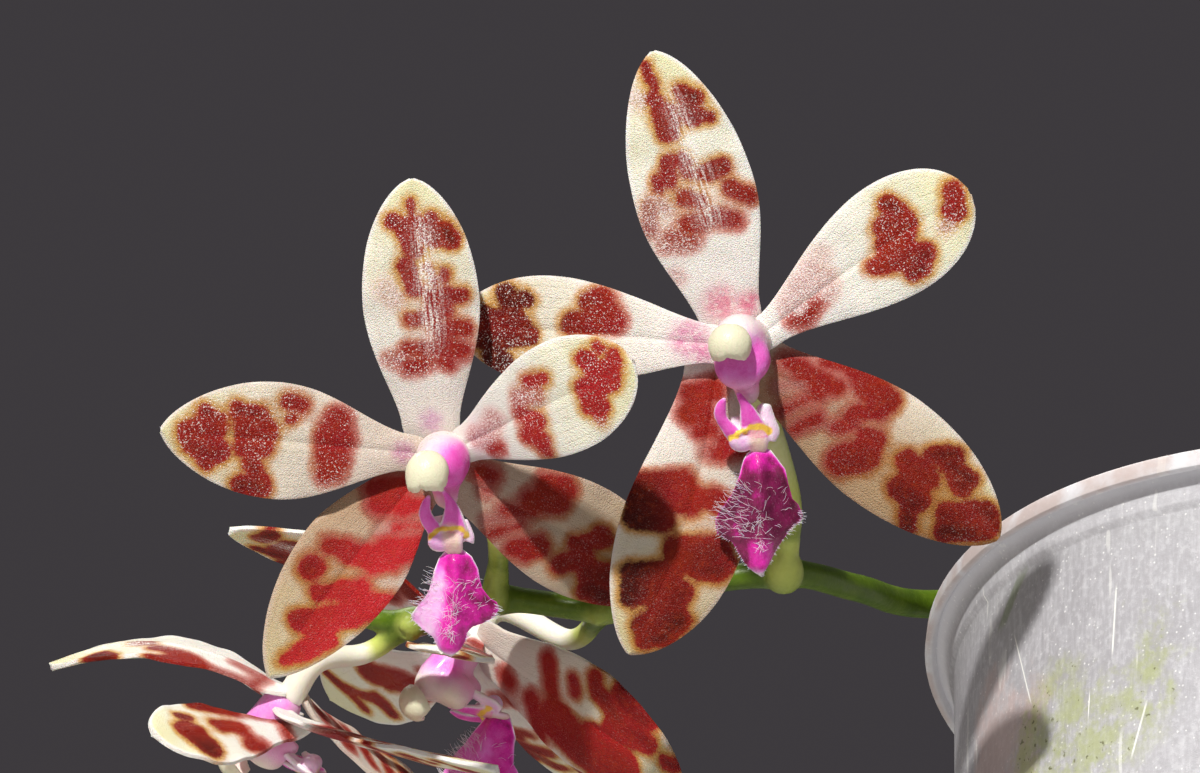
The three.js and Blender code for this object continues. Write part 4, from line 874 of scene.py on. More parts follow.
def make_tepal(name, bloom, spec, bars, blushes, seed, lean_back, looks, tone, shade):
    """Tone is how the bars lean at the root, at the tip and to the left, towards painted shade above 0 and painted
    light through the blade below 0.
    Shade is how much painted shade darkens the blade at its root and tip, and towards its right and left. Looks are
    marks that are the same all over the blade."""
    reach = TEPAL_ROOT / spec["length"]
    sheet, along, across = cut_sheet(name, int(spec["length"] * (1 + reach) / TEPAL_MESH),
                                     int(spec["width"] / TEPAL_MESH))
    along = along * (1 + reach) - reach
    inward = np.maximum(-along / reach, 0) ** 2
    sinking = (inward * 0.45)[:, None]
    leaning = (lean_back * np.maximum(along, 0) ** 2)[:, None]
    points, half, faces = bend_blade(spec, along, across)
    points = points - faces * sinking
    points = points - faces * leaning
    centre = bend_blade(spec, along, across * 0)[0]
    centre = centre - faces * leaning
    centre = centre - faces * sinking
    points = centre + (points - centre) * (1 - 0.4 * inward)[:, None]
    x, y = along * spec["length"], across * half
    wide = half / (spec["width"] / 2)
    waves = np.sin(along * 19 + seed) * 0.10 + np.sin(along * 41 + 2 * seed) * 0.04
    relief = waves * np.abs(across) ** 3 * wide
    relief -= 0.13 * hump(y, 0.3) * ease(along, 0.98, 0.6)
    relief += 0.10 * ripple(np.stack([x, y, np.zeros_like(x)], 1), 2.6, seed)
    relief -= 0.22 * np.abs(across) ** 6 * wide
    points = points + faces * relief[:, None]
    gap, depth = nearest_bars(x, y, bars)
    blush = np.zeros_like(x)
    for bx, by, radius, strength in blushes:
        spot = ease(np.hypot(x - bx, y - by), radius * 1.8, radius * 0.4)
        blush = np.maximum(blush, min(1, strength * 1.5) * spot)
    move_points(sheet, from_bloom(bloom, points))
    root_tone, tip_tone, left_tone = tone
    root_shade, tip_shade, right_shade, left_shade = shade
    # The painted gloss streak down a dorsal sepal's midrib
    streak = hump(across + 0.14, 0.22) * ease(along, 0.22, 0.4) * ease(along, 0.95, 0.75)
    mark(sheet, along=along, across=across, margin=half * (1 - np.abs(across)), bar_gap=gap, bar_depth=depth,
         blush=blush, lilac=looks["lilac"], graze_glints=looks["graze_glints"], sheen=looks["sheen"] * streak,
         tone=np.clip(root_tone + (tip_tone - root_tone) * ease(along, 0.3, 0.65) + left_tone * across, -1, 1),
         shade=np.clip(root_shade + (tip_shade - root_shade) * np.clip(along, 0, 1)
                       + np.where(across > 0, left_shade, right_shade) * np.abs(across), 0, 1))
    thicken(sheet, TEPAL_THICKNESS, TEPAL_EDGE_SHARE, across, 0.07)
    smooth(sheet, 60)
    return sheet


def scattered_bars(spec, seed):
    """Cross bars for a tepal whose own can't be seen, by the same habit as the others."""
    draw = random.Random(seed)
    bars = []
    place = spec["length"] * 0.16
    while place < spec["length"] * 0.93:
        half = float(spec["width"] / 2 * outline_of(spec, np.array([place / spec["length"]]))[0])
        for side in (-1, 1):
            if draw.random() < 0.8:
                start, end = side * half * draw.uniform(0.0, 0.25), side * half * draw.uniform(0.45, 0.8)
                lean = draw.uniform(-0.6, 0.6)
                bars.append((place, start, place + lean, end, draw.uniform(0.45, 0.85), draw.uniform(0.8, 1)))
        place += draw.uniform(2.2, 3.1)
    return bars


# ---- Rods: columns, stalks and roots -------------------------------------------------------------------------

def curve_through(points, cuts):
    """A smooth line through the points, even along its length, by the same rule as the CAD's."""
    p = np.asarray(points, float)
    p = np.vstack([2 * p[0] - p[1], p, 2 * p[-1] - p[-2]])
    line = []
    for i in range(1, len(p) - 2):
        p0, p1, p2, p3 = p[i - 1:i + 3]
        t1, t2, t3 = np.cumsum([max(np.linalg.norm(b - a), 1e-6) ** 0.5 for a, b in ((p0, p1), (p1, p2), (p2, p3))])
        for t in np.linspace(t1, t2, 40, endpoint=False):
            a1 = p0 * (t1 - t) / t1 + p1 * t / t1
            a2 = p1 * (t2 - t) / (t2 - t1) + p2 * (t - t1) / (t2 - t1)
            a3 = p2 * (t3 - t) / (t3 - t2) + p3 * (t - t2) / (t3 - t2)
            b1 = a1 * (t2 - t) / t2 + a2 * t / t2
            b2 = a2 * (t3 - t) / (t3 - t1) + a3 * (t - t1) / (t3 - t1)
            line.append(b1 * (t2 - t) / (t2 - t1) + b2 * (t - t1) / (t2 - t1))
    line = np.array([*line, p[-2]])
    run = np.concatenate([[0], np.cumsum(np.linalg.norm(np.diff(line, axis=0), axis=1))])
    return read_track(np.linspace(0, run[-1], cuts), run, line)


def frames_along(line):
    """Side and front directions along a line that don't twist about it."""
    way = np.gradient(line, axis=0)
    way /= np.linalg.norm(way, axis=1)[:, None]
    side = np.cross(way[0], (0.3, 0.9, 0.2))
    sides = []
    for step in way:
        side = unit(side - step * np.dot(side, step))
        sides.append(side)
    sides = np.array(sides)
    return way, sides, np.cross(way, sides)


def stretched_ball(name, line, radius_at, segments, rings, squareness, flatten=1.0, side_hint=None):
    """A ball drawn out along a line: rounded ends, and a radius that follows the line and the turn about it.
    Gives the piece, how far along the line each of its points lies, and where the point goes."""
    piece = start_with(bpy.ops.mesh.primitive_uv_sphere_add, name, segments=segments, ring_count=rings, radius=1)
    ball = points_of(piece)
    along = 1 - np.arccos(np.clip(ball[:, 2], -1, 1)) / np.pi
    way, side, front = frames_along(line)
    if side_hint is not None:
        side = side_hint - way * (way @ np.asarray(side_hint, float))[:, None]
        side /= np.linalg.norm(side, axis=1)[:, None]
        front = np.cross(way, side)
    shares = np.linspace(0, 1, len(line))
    middle, sides, fronts = [read_track(along, shares, track) for track in (line, side, front)]
    turn = np.arctan2(ball[:, 1], ball[:, 0])
    reach = radius_at(along, turn) * (1 - np.abs(2 * along - 1) ** squareness) ** (1 / squareness)
    points = middle + sides * (reach * np.cos(turn))[:, None] + fronts * (reach * flatten * np.sin(turn))[:, None]
    return piece, along, points


def round_stalk(name, line, radii, sides=5):
    """A stalk as a bevelled curve, made a mesh."""
    curve = bpy.data.curves.new(name, "CURVE")
    curve.dimensions = "3D"
    curve.bevel_depth, curve.bevel_resolution, curve.use_fill_caps = MM, sides, True
    run = curve.splines.new("POLY")
    run.points.add(len(line) - 1)
    for point, place, radius in zip(run.points, line, radii):
        point.co = (*(Vector(place) * MM), 1)
        point.radius = float(radius)
    pick(put_in_scene(name, curve))
    bpy.ops.object.convert(target="MESH")
    stalk = bpy.context.object
    face_outwards(stalk, weld=True)
    return stalk


def grow_together(pieces, name, voxel, rounds, kept=()):
    """Joins overlapping shapes and lets them melt into one skin. The kept marks pass to the new skin's points."""
    whole = join(pieces, name)
    before = points_of(whole) / MM
    values = {key: np.zeros(len(before), np.float32) for key in kept}
    for key, old in values.items():
        whole.data.attributes[key].data.foreach_get("value", old)
    skin = whole.modifiers.new("grown together", "REMESH")
    skin.mode, skin.voxel_size = "VOXEL", voxel * MM
    soft = whole.modifiers.new("soft", "SMOOTH")
    soft.factor, soft.iterations = 0.5, rounds
    apply_modifiers(whole)
    points = points_of(whole) / MM
    if kept:
        tree = kdtree.KDTree(len(before))
        for i, place in enumerate(before):
            tree.insert(place, i)
        tree.balance()
        nearest = np.array([[found[1] for found in tree.find_n(place, 4)] for place in points])
        mark(whole, **{key: old[nearest].mean(1) for key, old in values.items()})
    return whole, points


# ---- Columns, caps and lips ----------------------------------------------------------------------------------

COLUMN_LENGTH = 6.6
# Where each column's magenta front swells, in its bloom's frame, and how far
NOSES = {1: ((-0.3, -1.5, 4.2), 2.1), 2: ((-0.1, -0.9, 3.6), 1.5), 3: ((0.55, -1.35, 3.1), 1.85),
         4: ((0, -0.9, 3.6), 1.5)}
GIRTHS = {1: 2.1, 2: 1.75, 3: 2.15, 4: 1.75}
# Where each cap sits, which way its crown looks, its radius, its height to width, how much of its front is open,
# how ragged its lower edge is and how square it stands below
CAPS = {1: ((-0.97, -0.12, 5.7), (-0.2, 0.5, 0.85), 1.72, 0.97, -0.02, 0.06, 0.5),
        2: ((-0.2, 0.4, 5.7), (0, 0.45, 0.85), 1.7, 1.0, 0.0, 0.05, 0.3),
        3: ((-0.5, -1.62, 5.5), (-0.3, 0.45, 0.85), 1.72, 1.08, -0.04, 0.12, 0.8),
        4: ((0, 0.3, 5.7), (0, 0.45, 0.85), 1.7, 1.0, 0.0, 0.05, 0.3)}


def make_column(number, bloom):
    """The column: a body, a cheek, the swelling under its tip and the foot that carries the lip, grown into one."""
    third = number == 3
    lean = np.array([*bloom["lean"], COLUMN_LENGTH - 0.7])
    foot = np.array(bloom["foot"], float)
    nose, swell = NOSES[number]
    nose = np.array(nose, float)
    parts = []

    def add(line, radius, squareness):
        piece, _, points = stretched_ball("part", curve_through(line, 30), radius, 28, 32, squareness)
        move_points(piece, points)
        parts.append(piece)

    body = [(0.1, 0.1, -1.2), (0.1, 0.2, 1.5), (0.5 * lean[0], 0.35 + 0.5 * lean[1], 3.6), lean * (1, 1, 0.93)]
    if third:
        body = [(0.3, -0.2, -1.2), (0.45, -0.65, 1.5), (0.25, -1.0, 3.6), (-0.45, -1.5, 5.3)]
    add(body, lambda a, t: GIRTHS[number] * (1 - 0.3 * a ** 3), 4)
    cheek = np.array([1.0, -0.9, 2.0] if third else [0.5, -0.7, 2.3])
    add([cheek, cheek + (-0.15, -0.4, 1.3), cheek + (-0.35, -0.6, 2.6)], lambda a, t: 1.45 if third else 1.75, 3)
    add([nose + (0.15, 1.2, -2.6), nose, nose + (-0.1, -0.1, 0.9)], lambda a, t: swell * (0.75 + 0.3 * a), 3)
    add([nose * 0.6 + (0.2, -1.0, 0.3), (nose + foot) / 2 + (0.25, -0.6, -0.4), foot + (0.1, 0.2, 0)],
        lambda a, t: 1.15 - 0.25 * a, 4)
    column, points = grow_together(parts, f"bloom_{number}_column_flesh", 0.16, 54)
    move_points(column, from_bloom(bloom, points))
    gap = np.linalg.norm(points - nose - ((0.8, 0, 0.4) if third else (0, 0, 0)), axis=1)
    flush = ease(gap, swell + 1.6, swell - 0.1) * ease(points[:, 2], 0.6, 2.6)
    below = ease(points[:, 1] - 0.5 * (points[:, 0] - nose[0]), nose[1] + 2.6, nose[1] + 0.6)
    deep = {1: 0.38, 3: 0.46}.get(number, 0.1)
    hue = 0.09 + deep * flush * (0.25 + 0.75 * below)
    pale = 0.3 * (1 - flush)
    if number % 2 == 0:
        hue = hue + 0.26 * ease(points[:, 2], 5.0, 2.4)
        pale = 0.5 * ease(points[:, 2], 3.0, 4.8)
    mark(column, hue_depth=np.clip(hue, 0, 0.6),
         cream=0.3 * ease(points[:, 1], foot[1] + 2.2, foot[1] + 0.8) + pale)
    smooth(column)
    finish_piece(column, "column", [FLESH], f"bloom_{number}_column")


# A cap is a ball pushed in from below: how far down its outside reaches, as an angle, and the cap's wall
CAP_OUTSIDE, CAP_WALL = 0.55 * np.pi, 0.2


def make_cap(number, bloom):
    """The anther cap: a cream hood, open below, with an uneven lower edge."""
    seat, crown, radius, tall, opened, ragged, square = CAPS[number]
    cap = start_with(bpy.ops.mesh.primitive_uv_sphere_add, f"bloom_{number}_cap_hood", segments=64, ring_count=48,
                     radius=1)
    ball = points_of(cap)
    polar = np.arccos(np.clip(ball[:, 2], -1, 1))
    turn = np.arctan2(ball[:, 1], ball[:, 0])
    outside = polar < CAP_OUTSIDE
    share = np.where(outside, polar / CAP_OUTSIDE, (np.pi - polar) / (np.pi - CAP_OUTSIDE))
    beak = hump(turn + 0.75, 0.35)
    bite = hump(turn + 1.45, 0.3) - 0.7 * hump(turn + 2.3, 0.4)
    most = 1.45 + 0.1 * np.cos(2 * turn) + 0.16 * beak - 0.22 * bite
    below = ease(np.sin(turn), 0.2, -0.6)
    most += (ragged * (np.sin(turn * 13) * 0.5 + np.sin(turn * 22 + 1) * 0.4) - opened) * below
    reach = radius - np.where(outside, 0, CAP_WALL) + 0.10 * ease(share, 0.7, 1.0) * np.where(outside, -1, 0)
    open_at = share * most
    furrow = 0.05 * hump(turn - 1.57, 0.2) * ease(share, 0.1, 0.5)
    hood = np.stack([np.sin(open_at) * np.cos(turn), np.sin(open_at) * np.sin(turn), np.cos(open_at)], 1)
    hood = hood * (reach - furrow)[:, None] * np.array([1.0, tall, 1.06])
    crown = Vector(crown).normalized()
    side = Vector((0, 1, 0)).cross(crown).normalized()
    placed = hood @ np.array(Matrix((side, crown.cross(side), crown)))
    placed[:, 0] *= (1 - square * np.clip(-placed[:, 1] / (radius * tall), 0, 0.9) ** 2) ** -0.5
    move_points(cap, from_bloom(bloom, placed + np.array(seat)))
    mark(cap, cream=np.where(outside, 1.0, 0.75), hue_depth=np.where(outside, 0.0, 0.35))
    face_outwards(cap)
    smooth(cap)
    finish_piece(cap, "anther_cap", [FLESH], f"bloom_{number}_anther_cap")


# Edges of the lip's lobes as (x, y) from the lip's hinge, left edge first. The first set is bloom 1's, which
# blooms 2 and 4 share, and the second is bloom 3's.
LOBE_EDGES = {
    1: ([(0.35, -1.3), (-0.3, -1.75), (-0.57, -2.24), (-0.87, -3.43), (-1.32, -4.63), (-2.29, -6.1), (-2.59, -6.87),
         (-2.44, -7.9), (-1.32, -8.43), (-0.95, -9.1), (-0.5, -9.85), (0.1, -10.45), (0.74, -10.97)],
        [(0.75, -1.3), (1.44, -1.5), (2.04, -2.24), (2.56, -2.99), (2.78, -4.03), (3.08, -5.22), (3.53, -5.67),
         (3.9, -6.57), (3.75, -7.01), (3.08, -7.46), (2.49, -8.2), (1.89, -8.96), (1.07, -10.3), (0.8, -10.97)]),
    3: ([(0.7, -0.6), (0.13, -0.9), (-0.31, -1.35), (-0.69, -2.4), (-0.99, -3.74), (-1.51, -4.63), (-2.4, -5.83),
         (-2.33, -6.28), (-1.58, -6.87), (-0.76, -7.32), (-0.31, -8.22), (0.21, -8.59), (0.55, -8.7)],
        [(1.1, -0.6), (1.55, -0.75), (2.15, -1.2), (2.6, -2.1), (2.75, -2.99), (2.9, -3.59), (3.49, -4.34),
         (3.94, -4.63), (4.09, -5.23), (3.79, -5.83), (2.9, -6.28), (2.15, -6.5), (1.78, -6.87), (1.63, -7.47),
         (1.25, -8.07), (0.61, -8.7)]),
}
# Each sheet of the lip's side lobes: its two edges, how far forward it stands at y = 0 and by how much more for
# each millimetre up, how far it bows, and its colour at the middle and at the margin
SIDE_SHEETS = {
    1: [([(-1.0, -1.3), (-1.54, -0.9), (-2.14, 0), (-2.74, 1.2), (-2.55, 1.95), (-2.0, 2.42)],
         [(-0.3, -0.6), (-0.85, 0.05), (-1.45, 0.55), (-1.85, 1.1), (-1.9, 1.75), (-1.95, 2.42)],
         0.75, 0.38, 0.2, 0.52, 0.02),
        ([(-0.4, -0.5), (-0.78, 0.2), (-0.8, 1.0), (-0.78, 1.8), (-0.98, 2.4), (-1.06, 2.82)],
         [(1.35, -0.35), (1.25, 0.25), (0.7, 1.0), (0, 1.85), (-0.6, 2.5), (-1.0, 2.82)],
         0.8, 0.38, 0.25, 0.55, 0.02),
        ([(0.9, -0.7), (0.55, 0.5), (0.42, 1.4), (0.55, 1.75), (0.85, 1.9)],
         [(1.8, -0.85), (2.12, -0.1), (1.8, 0.8), (1.55, 1.5), (1.4, 1.9)], 0.3, 0.05, 0.3, 0.14, 0.02),
        ([(-1.5, -0.55), (-0.9, -0.2), (0, -0.1), (0.6, -0.3)],
         [(-1.62, -0.95), (-1.15, -1.5), (-0.4, -1.55), (0.35, -1.05)], 0.75, 0.2, 0.25, 0.2, 0.04),
        ([(-1.8, -0.3), (-1.7, 0.5), (-1.5, 0.95)], [(-0.4, -0.3), (-0.5, 0.5), (-0.85, 1.1)],
         0.25, 0, 0.1, 0.08, 0.05)],
    3: [([(-0.5, -0.4), (-1.1, -0.1), (-1.08, 0.5), (-1.52, 1.2), (-1.75, 2.0), (-1.5, 2.83), (-1.02, 3.38)],
         [(0.1, 0.2), (-0.2, 0.8), (-0.3, 1.3), (-0.6, 1.65), (-0.92, 2.2), (-0.95, 2.85), (-0.96, 3.38)],
         0.4, 0.38, 0.2, 0.5, 0.02),
        ([(0.1, 0.3), (-0.2, 1.0), (0, 1.7), (0.2, 2.4), (0.2, 3.1), (0, 3.75)],
         [(1.95, 0.3), (1.85, 0.8), (1.62, 1.5), (1.22, 2.4), (0.75, 3.1), (0.06, 3.75)],
         0.45, 0.38, 0.25, 0.52, 0.02),
        ([(1.3, 0.1), (1.4, 0.6), (1.5, 1.1), (1.6, 1.55)], [(2.25, -0.3), (2.3, 0.2), (2.05, 0.9), (1.75, 1.55)],
         0.2, 0.05, 0.2, 0.14, 0.02),
        ([(-1.0, 0.3), (-0.4, 0.6), (0.4, 0.7), (1.1, 0.45)],
         [(-1.05, -0.25), (-0.7, -0.72), (0.1, -0.78), (0.8, -0.35)], 0.7, 0.2, 0.25, 0.24, 0.05),
        ([(-1.1, 0.5), (-1.1, 1.2), (-0.9, 1.7)], [(0.3, 0.5), (0.3, 1.2), (0.1, 1.9)],
         0.25, 0, 0.1, 0.1, 0.05)],
}
CALLUS = {1: [(-1.5, -0.6), (-1.15, -0.45), (-0.75, -0.15), (-0.2, 0.1), (0.4, 0.22), (1.0, 0.15), (1.4, -0.15)],
          3: [(-0.95, 0.2), (-0.55, 0.5), (-0.1, 0.82), (0.5, 0.95), (1.1, 0.88), (1.6, 0.65), (1.75, 0.4)]}
NECK = {1: [(0.4, 0.1, 0.95), (0.5, -0.8, 0.75), (0.6, -1.8, 0.15)],
        3: [(0.6, 0.7, 1.05), (0.7, -0.1, 0.95), (0.88, -1.15, 0.3)]}
# Each middle lobe's root, heading, lift and roll, and its colour at the top, on the left and on the right
LOBES = {1: ((0.5, -1.3, 0.1), -88, 12, 0, 0.86, 0.89, 0.92), 2: ((0.2, -1.1, 0.1), -88, 86, -66, 0.5, 0.46, 0.6),
         3: ((0.88, -0.6, 0.1), -92, 12, 0, 0.67, 0.26, 0.74), 4: ((0.5, -1.3, 0.1), -88, 70, -30, 0.6, 0.56, 0.7)}
# From a column's foot to the hinge of its lip
HINGE = np.array([0.15, -2.15, 0.3])


def lip_kind(number):
    """Which of the two sets of lip shapes a bloom has."""
    return 3 if number == 3 else 1


def bend_lobe(number, along, across):
    """The middle lobe's surface: a keel down its middle, flanks swept back, and a swollen tip."""
    kind = lip_kind(number)
    root, heading, lift, roll = LOBES[number][:4]
    left, right = [np.array(edge) for edge in LOBE_EDGES[kind]]
    length = left[0][1] - left[-1][1]
    spec = blade(heading, length, 6, root, lift=lift, curl=-26, roll=roll, steps=8)
    axis = LOBES[kind][0][0] + 0.035 * (1 if kind == 1 else -1) * length * along
    down = left[0][1] - length * along
    reach_left = axis - np.interp(-down, -left[:, 1], left[:, 0])
    reach_right = np.interp(-down, -right[:, 1], right[:, 0]) - axis
    shares, *tracks = midrib_of(spec)
    places, sides, faces = [read_track(along, shares, track) for track in tracks]
    out = across * np.where(across < 0, reach_left, reach_right)
    height = 0.55 * hump(out, 0.5) * ease(along, 0, 0.15) * ease(along, 0.95, 0.5)
    height += 0.9 * hump(out, 0.85) * ease(along, 0.5, 0.78) * ease(along, 1.0, 0.88)
    height -= 0.14 * out ** 2 * ease(along, -0.1, 0.5)
    height += 0.07 * np.sin(along * 34) * ease(np.abs(across), 0.6, 1.0)
    return places + sides * out[:, None] + faces * height[:, None], faces, sides, out


def make_middle_lobe(number, place):
    sheet, along, across = cut_sheet("midlobe", 84, 48)
    across = np.sign(across) * np.abs(across) ** 0.9
    points, faces, _, out = bend_lobe(number, along, across)
    points = points + faces * (0.05 * ripple(points, 0.7, number))[:, None]
    move_points(sheet, place(points))
    top, on_left, on_right = LOBES[number][4:]
    left_share = ease(-out + 0.25 * ripple(points, 0.6, number), 0.05, 0.8)
    hue = np.where(out < 0, top + (on_left - top) * left_share, top + (on_right - top) * ease(out, 0.15, 0.9))
    hue = hue + (0.69 - hue) * 0.8 * ease(along, 0.32, 0.1) + 0.12 * ripple(points, 0.8, number + 3)
    tip_starts, tip_full = (0.62, 0.8) if lip_kind(number) == 1 else (0.5, 0.75)
    hue = hue + (0.645 - hue) * (ease(along, tip_starts, tip_full) * np.exp(-(out / 0.9) ** 4))
    hue = hue - 0.6 * ease(along, 0.89, 0.98) - 0.5 * ease(along, 0.1, 0.0)
    margin = np.abs(across)
    hue = hue - 0.45 * ease(margin, 0.86, 1.0) * ease(along, 0.35, 0.1) - 0.2 * ease(margin, 0.93, 1.0)
    mark(sheet, hue_depth=np.clip(hue, 0.03, 1))
    thicken(sheet, 0.5, 0.3, across, 0.04)
    return sheet


def make_side_sheet(one, two, forward, slope, bow, middle, margin):
    """A thin sheet stretched between two edges."""
    sheet, along, across = cut_sheet("side", 30, 16)
    lines = [curve_through([(x, y, forward + slope * y) for x, y in edge], 60) for edge in (one, two)]
    edges = [read_track(along, np.linspace(0, 1, 60), line) for line in lines]
    share = (across + 1) / 2
    points = edges[0] * (1 - share)[:, None] + edges[1] * share[:, None]
    wide = np.linalg.norm(edges[1] - edges[0], axis=1)
    points[:, 2] += bow * (1 - across ** 2) * np.minimum(wide, 1)
    move_points(sheet, points)
    hue = middle + (margin - middle) * ease(np.abs(across), 0.7, 0.9) - 0.25 * ease(along, 0.92, 1)
    mark(sheet, hue_depth=np.clip(hue, 0.03, 1))
    thicken(sheet, 0.5, 0.55, across, 0.05)
    return sheet


def make_throat(number, place):
    """Side lobes, callus and neck, grown into one piece."""
    kind = lip_kind(number)
    parts = [make_side_sheet(*sheet) for sheet in SIDE_SHEETS[kind]]

    def grow(line, radius, hue, flatten=1.0):
        piece, _, points = stretched_ball("grown", curve_through(line, 30), radius, 20, 24, 3, flatten,
                                          side_hint=(1, 0, 0))
        mark(piece, hue_depth=hue)
        move_points(piece, points)
        parts.append(piece)

    band = CALLUS[kind]
    grow([(x, y, 1.2 - 0.25 * (x - band[3][0]) ** 2) for x, y in band],
         lambda a, t: 0.13 + 0.08 * np.sin(a * 17 + number) ** 2, 0.2)
    grow(NECK[kind], lambda a, t: 0.92 - 0.25 * a, 0.17, 0.42)
    middle = np.array(NECK[kind][0])
    grow([middle + (-1.4, -0.3, -0.75), middle + (0, -0.2, -0.7), middle + (1.2, -0.3, -0.75)],
         lambda a, t: 0.8 + 0 * a, 0.14)
    throat, points = grow_together(parts, "throat", 0.085, 4, ("hue_depth",))
    trace = curve_through([(x, y, 0) for x, y in band], 60)[:, :2]
    gap = np.linalg.norm(points[:, None, :2] - trace[None], axis=2).min(1)
    gap = gap + 0.2 * ripple(points, 0.45, number)
    neck = curve_through(NECK[kind], 30)
    peach = ease(np.linalg.norm(points[:, None] - neck[None], axis=2).min(1), 0.95, 0.4)
    mark(throat, callus=np.maximum(ease(gap, 0.3, 0.14) * ease(points[:, 2], 0.5, 0.8), 0.3 * peach),
         cream=0.25 * peach)
    points[:, 2] += 0.06 * ripple(points, 0.8, number + 7)
    move_points(throat, place(points))
    return throat


def make_lip(number, bloom):
    hinge = np.array(bloom["foot"], float) + HINGE

    def place(points):
        return from_bloom(bloom, points + hinge)

    lip = join([make_middle_lobe(number, place), make_throat(number, place)], f"bloom_{number}_lip_flesh")
    smooth(lip, 65)
    finish_piece(lip, "lip", [FLESH, FLESH], f"bloom_{number}_lip")
    make_lip_hairs(number, place)


HAIR_STEPS, HAIR_CORNERS = 6, (0, 2.094, 4.189)


def hair_beds(number, draw):
    """The hairs' beds on a middle lobe: how many hairs, where along and across it, which way they look from the
    surface (out of it, to the side and ahead), how long they are and how much they curl. A tuft over the keel comes
    first, then the spreads over the flanks, and then the fringe at the margin."""
    curly = number == 3
    tuft, ridge, left, right = (110, 36, 40, 26) if curly else (80, 10, 110, 10)
    return [(tuft, (0.52, 0.8), lambda: draw.gauss(-0.02, 0.13), (0.9, -0.15, -0.2), (0.4, 1.15), 2.4),
            (ridge, (0.3, 0.6), lambda: draw.gauss(0.02, 0.1), (0.9, 0.0, -0.5), (0.9, 1.5), 0.9),
            (left, (0.28, 0.7), lambda: draw.uniform(-0.95, -0.12), (0.42, -0.8, -0.35), (0.6, 1.35), 0.55),
            (right, (0.3, 0.62), lambda: draw.uniform(0.2, 0.9), (0.6, 0.6, -0.5), (0.5, 1.1), 0.7),
            (22, (0.2, 0.58), lambda: draw.uniform(-1.0, -0.93), (0.2, -1, -0.25), (0.5, 1.0), 0.5),
            (34, (0.5, 0.68), lambda: draw.uniform(0.9, 1.0), (0.15, 1, 0.25), (0.2, 0.55), 0.35),
            (44, (0.6, 0.95), lambda: draw.uniform(0.95, 1.0), (0.1, 0.8, 0.5), (0.12, 0.3), 0.3),
            (44, (0.6, 0.95), lambda: draw.uniform(-1.0, -0.95), (0.1, -0.8, 0.5), (0.12, 0.32), 0.3)]


def make_lip_hairs(number, place):
    """Fine curled hairs on the middle lobe, each a thin three-sided cone."""
    draw = random.Random(100 + number)
    wanted = [(draw.uniform(*along), across(), way, draw.uniform(*length), curl)
              for count, along, across, way, length, curl in hair_beds(number, draw) for _ in range(count)]
    along, across = np.array([w[0] for w in wanted]), np.array([w[1] for w in wanted])
    feet, faces, sides, _ = bend_lobe(number, along, across)
    ahead = bend_lobe(number, np.minimum(along + 0.02, 1), across * 0)[0] - bend_lobe(number, along, across * 0)[0]
    vertices, rings, shares = [], [], []
    for i, (_, _, way, length, curl) in enumerate(wanted):
        toward = faces[i] * way[0] + sides[i] * way[1] + unit(ahead[i]) * way[2]
        toward = unit(toward + np.array([draw.gauss(0, 0.24) for _ in range(3)]))
        swerve = np.array([draw.gauss(0, 1) for _ in range(3)]) * curl
        points, step = [feet[i] + faces[i] * 0.1], length / HAIR_STEPS
        for _ in range(HAIR_STEPS):
            points.append(points[-1] + toward * step)
            toward = unit(toward + swerve / HAIR_STEPS)
        thick = draw.uniform(0.018, 0.028)
        _, one, two = frames_along(np.array(points))
        start = len(vertices)
        for k, point in enumerate(points):
            reach = thick * (1 - 0.7 * k / HAIR_STEPS)
            vertices += [point + one[k] * reach * math.cos(turn) + two[k] * reach * math.sin(turn)
                         for turn in HAIR_CORNERS]
            shares += [k / HAIR_STEPS] * 3
        for a in range(start, start + 3 * HAIR_STEPS):
            b = a + 1 if (a - start) % 3 < 2 else a - 2
            rings.append((a, b, b + 3, a + 3))
        tip = start + 3 * HAIR_STEPS
        rings += [(start, start + 2, start + 1), (tip, tip + 1, tip + 2)]
    mesh = bpy.data.meshes.new("hairs")
    mesh.from_pydata([tuple(v) for v in place(np.array(vertices)) * MM], [], rings)
    hairs = put_in_scene(f"bloom_{number}_lip_hairs", mesh)
    mark(hairs, along=shares)
    smooth(hairs)
    finish_piece(hairs, "lip", [HAIR])


# How much painted shade browns and darkens each tepal's flesh, standing in for shadow and the dim light through it:
# at its root and tip, and towards its right and left
SHADES = {(1, "sepal_right"): (1.0, 0.8, 0.15, -0.45), (1, "sepal_left"): (0.25, 0.6, -0.1, 0.2),
          (1, "petal_left"): (0.1, 0.35, 0, 0), (2, "sepal_right"): (0.4, 0.4, 0, 0),
          (3, "sepal_dorsal"): (0.25, 0.1, 0, 0), (3, "sepal_left"): (1.0, 0.6, 0.1, -0.3),
          (3, "sepal_right"): (0.8, 0.8, 0, 0), (3, "petal_left"): (0.6, 0.35, 0, 0),
          (4, "sepal_left"): (0.5, 0.5, 0, 0)}
# How much painted glitter each tepal has, standing in for the light its skin catches where the light grazes it
GRAZE_GLINTS_BY_TEPAL = dict(sepal_dorsal=0.7, petal_right=0.8, petal_left=0.75, sepal_left=0.08, sepal_right=0.16)
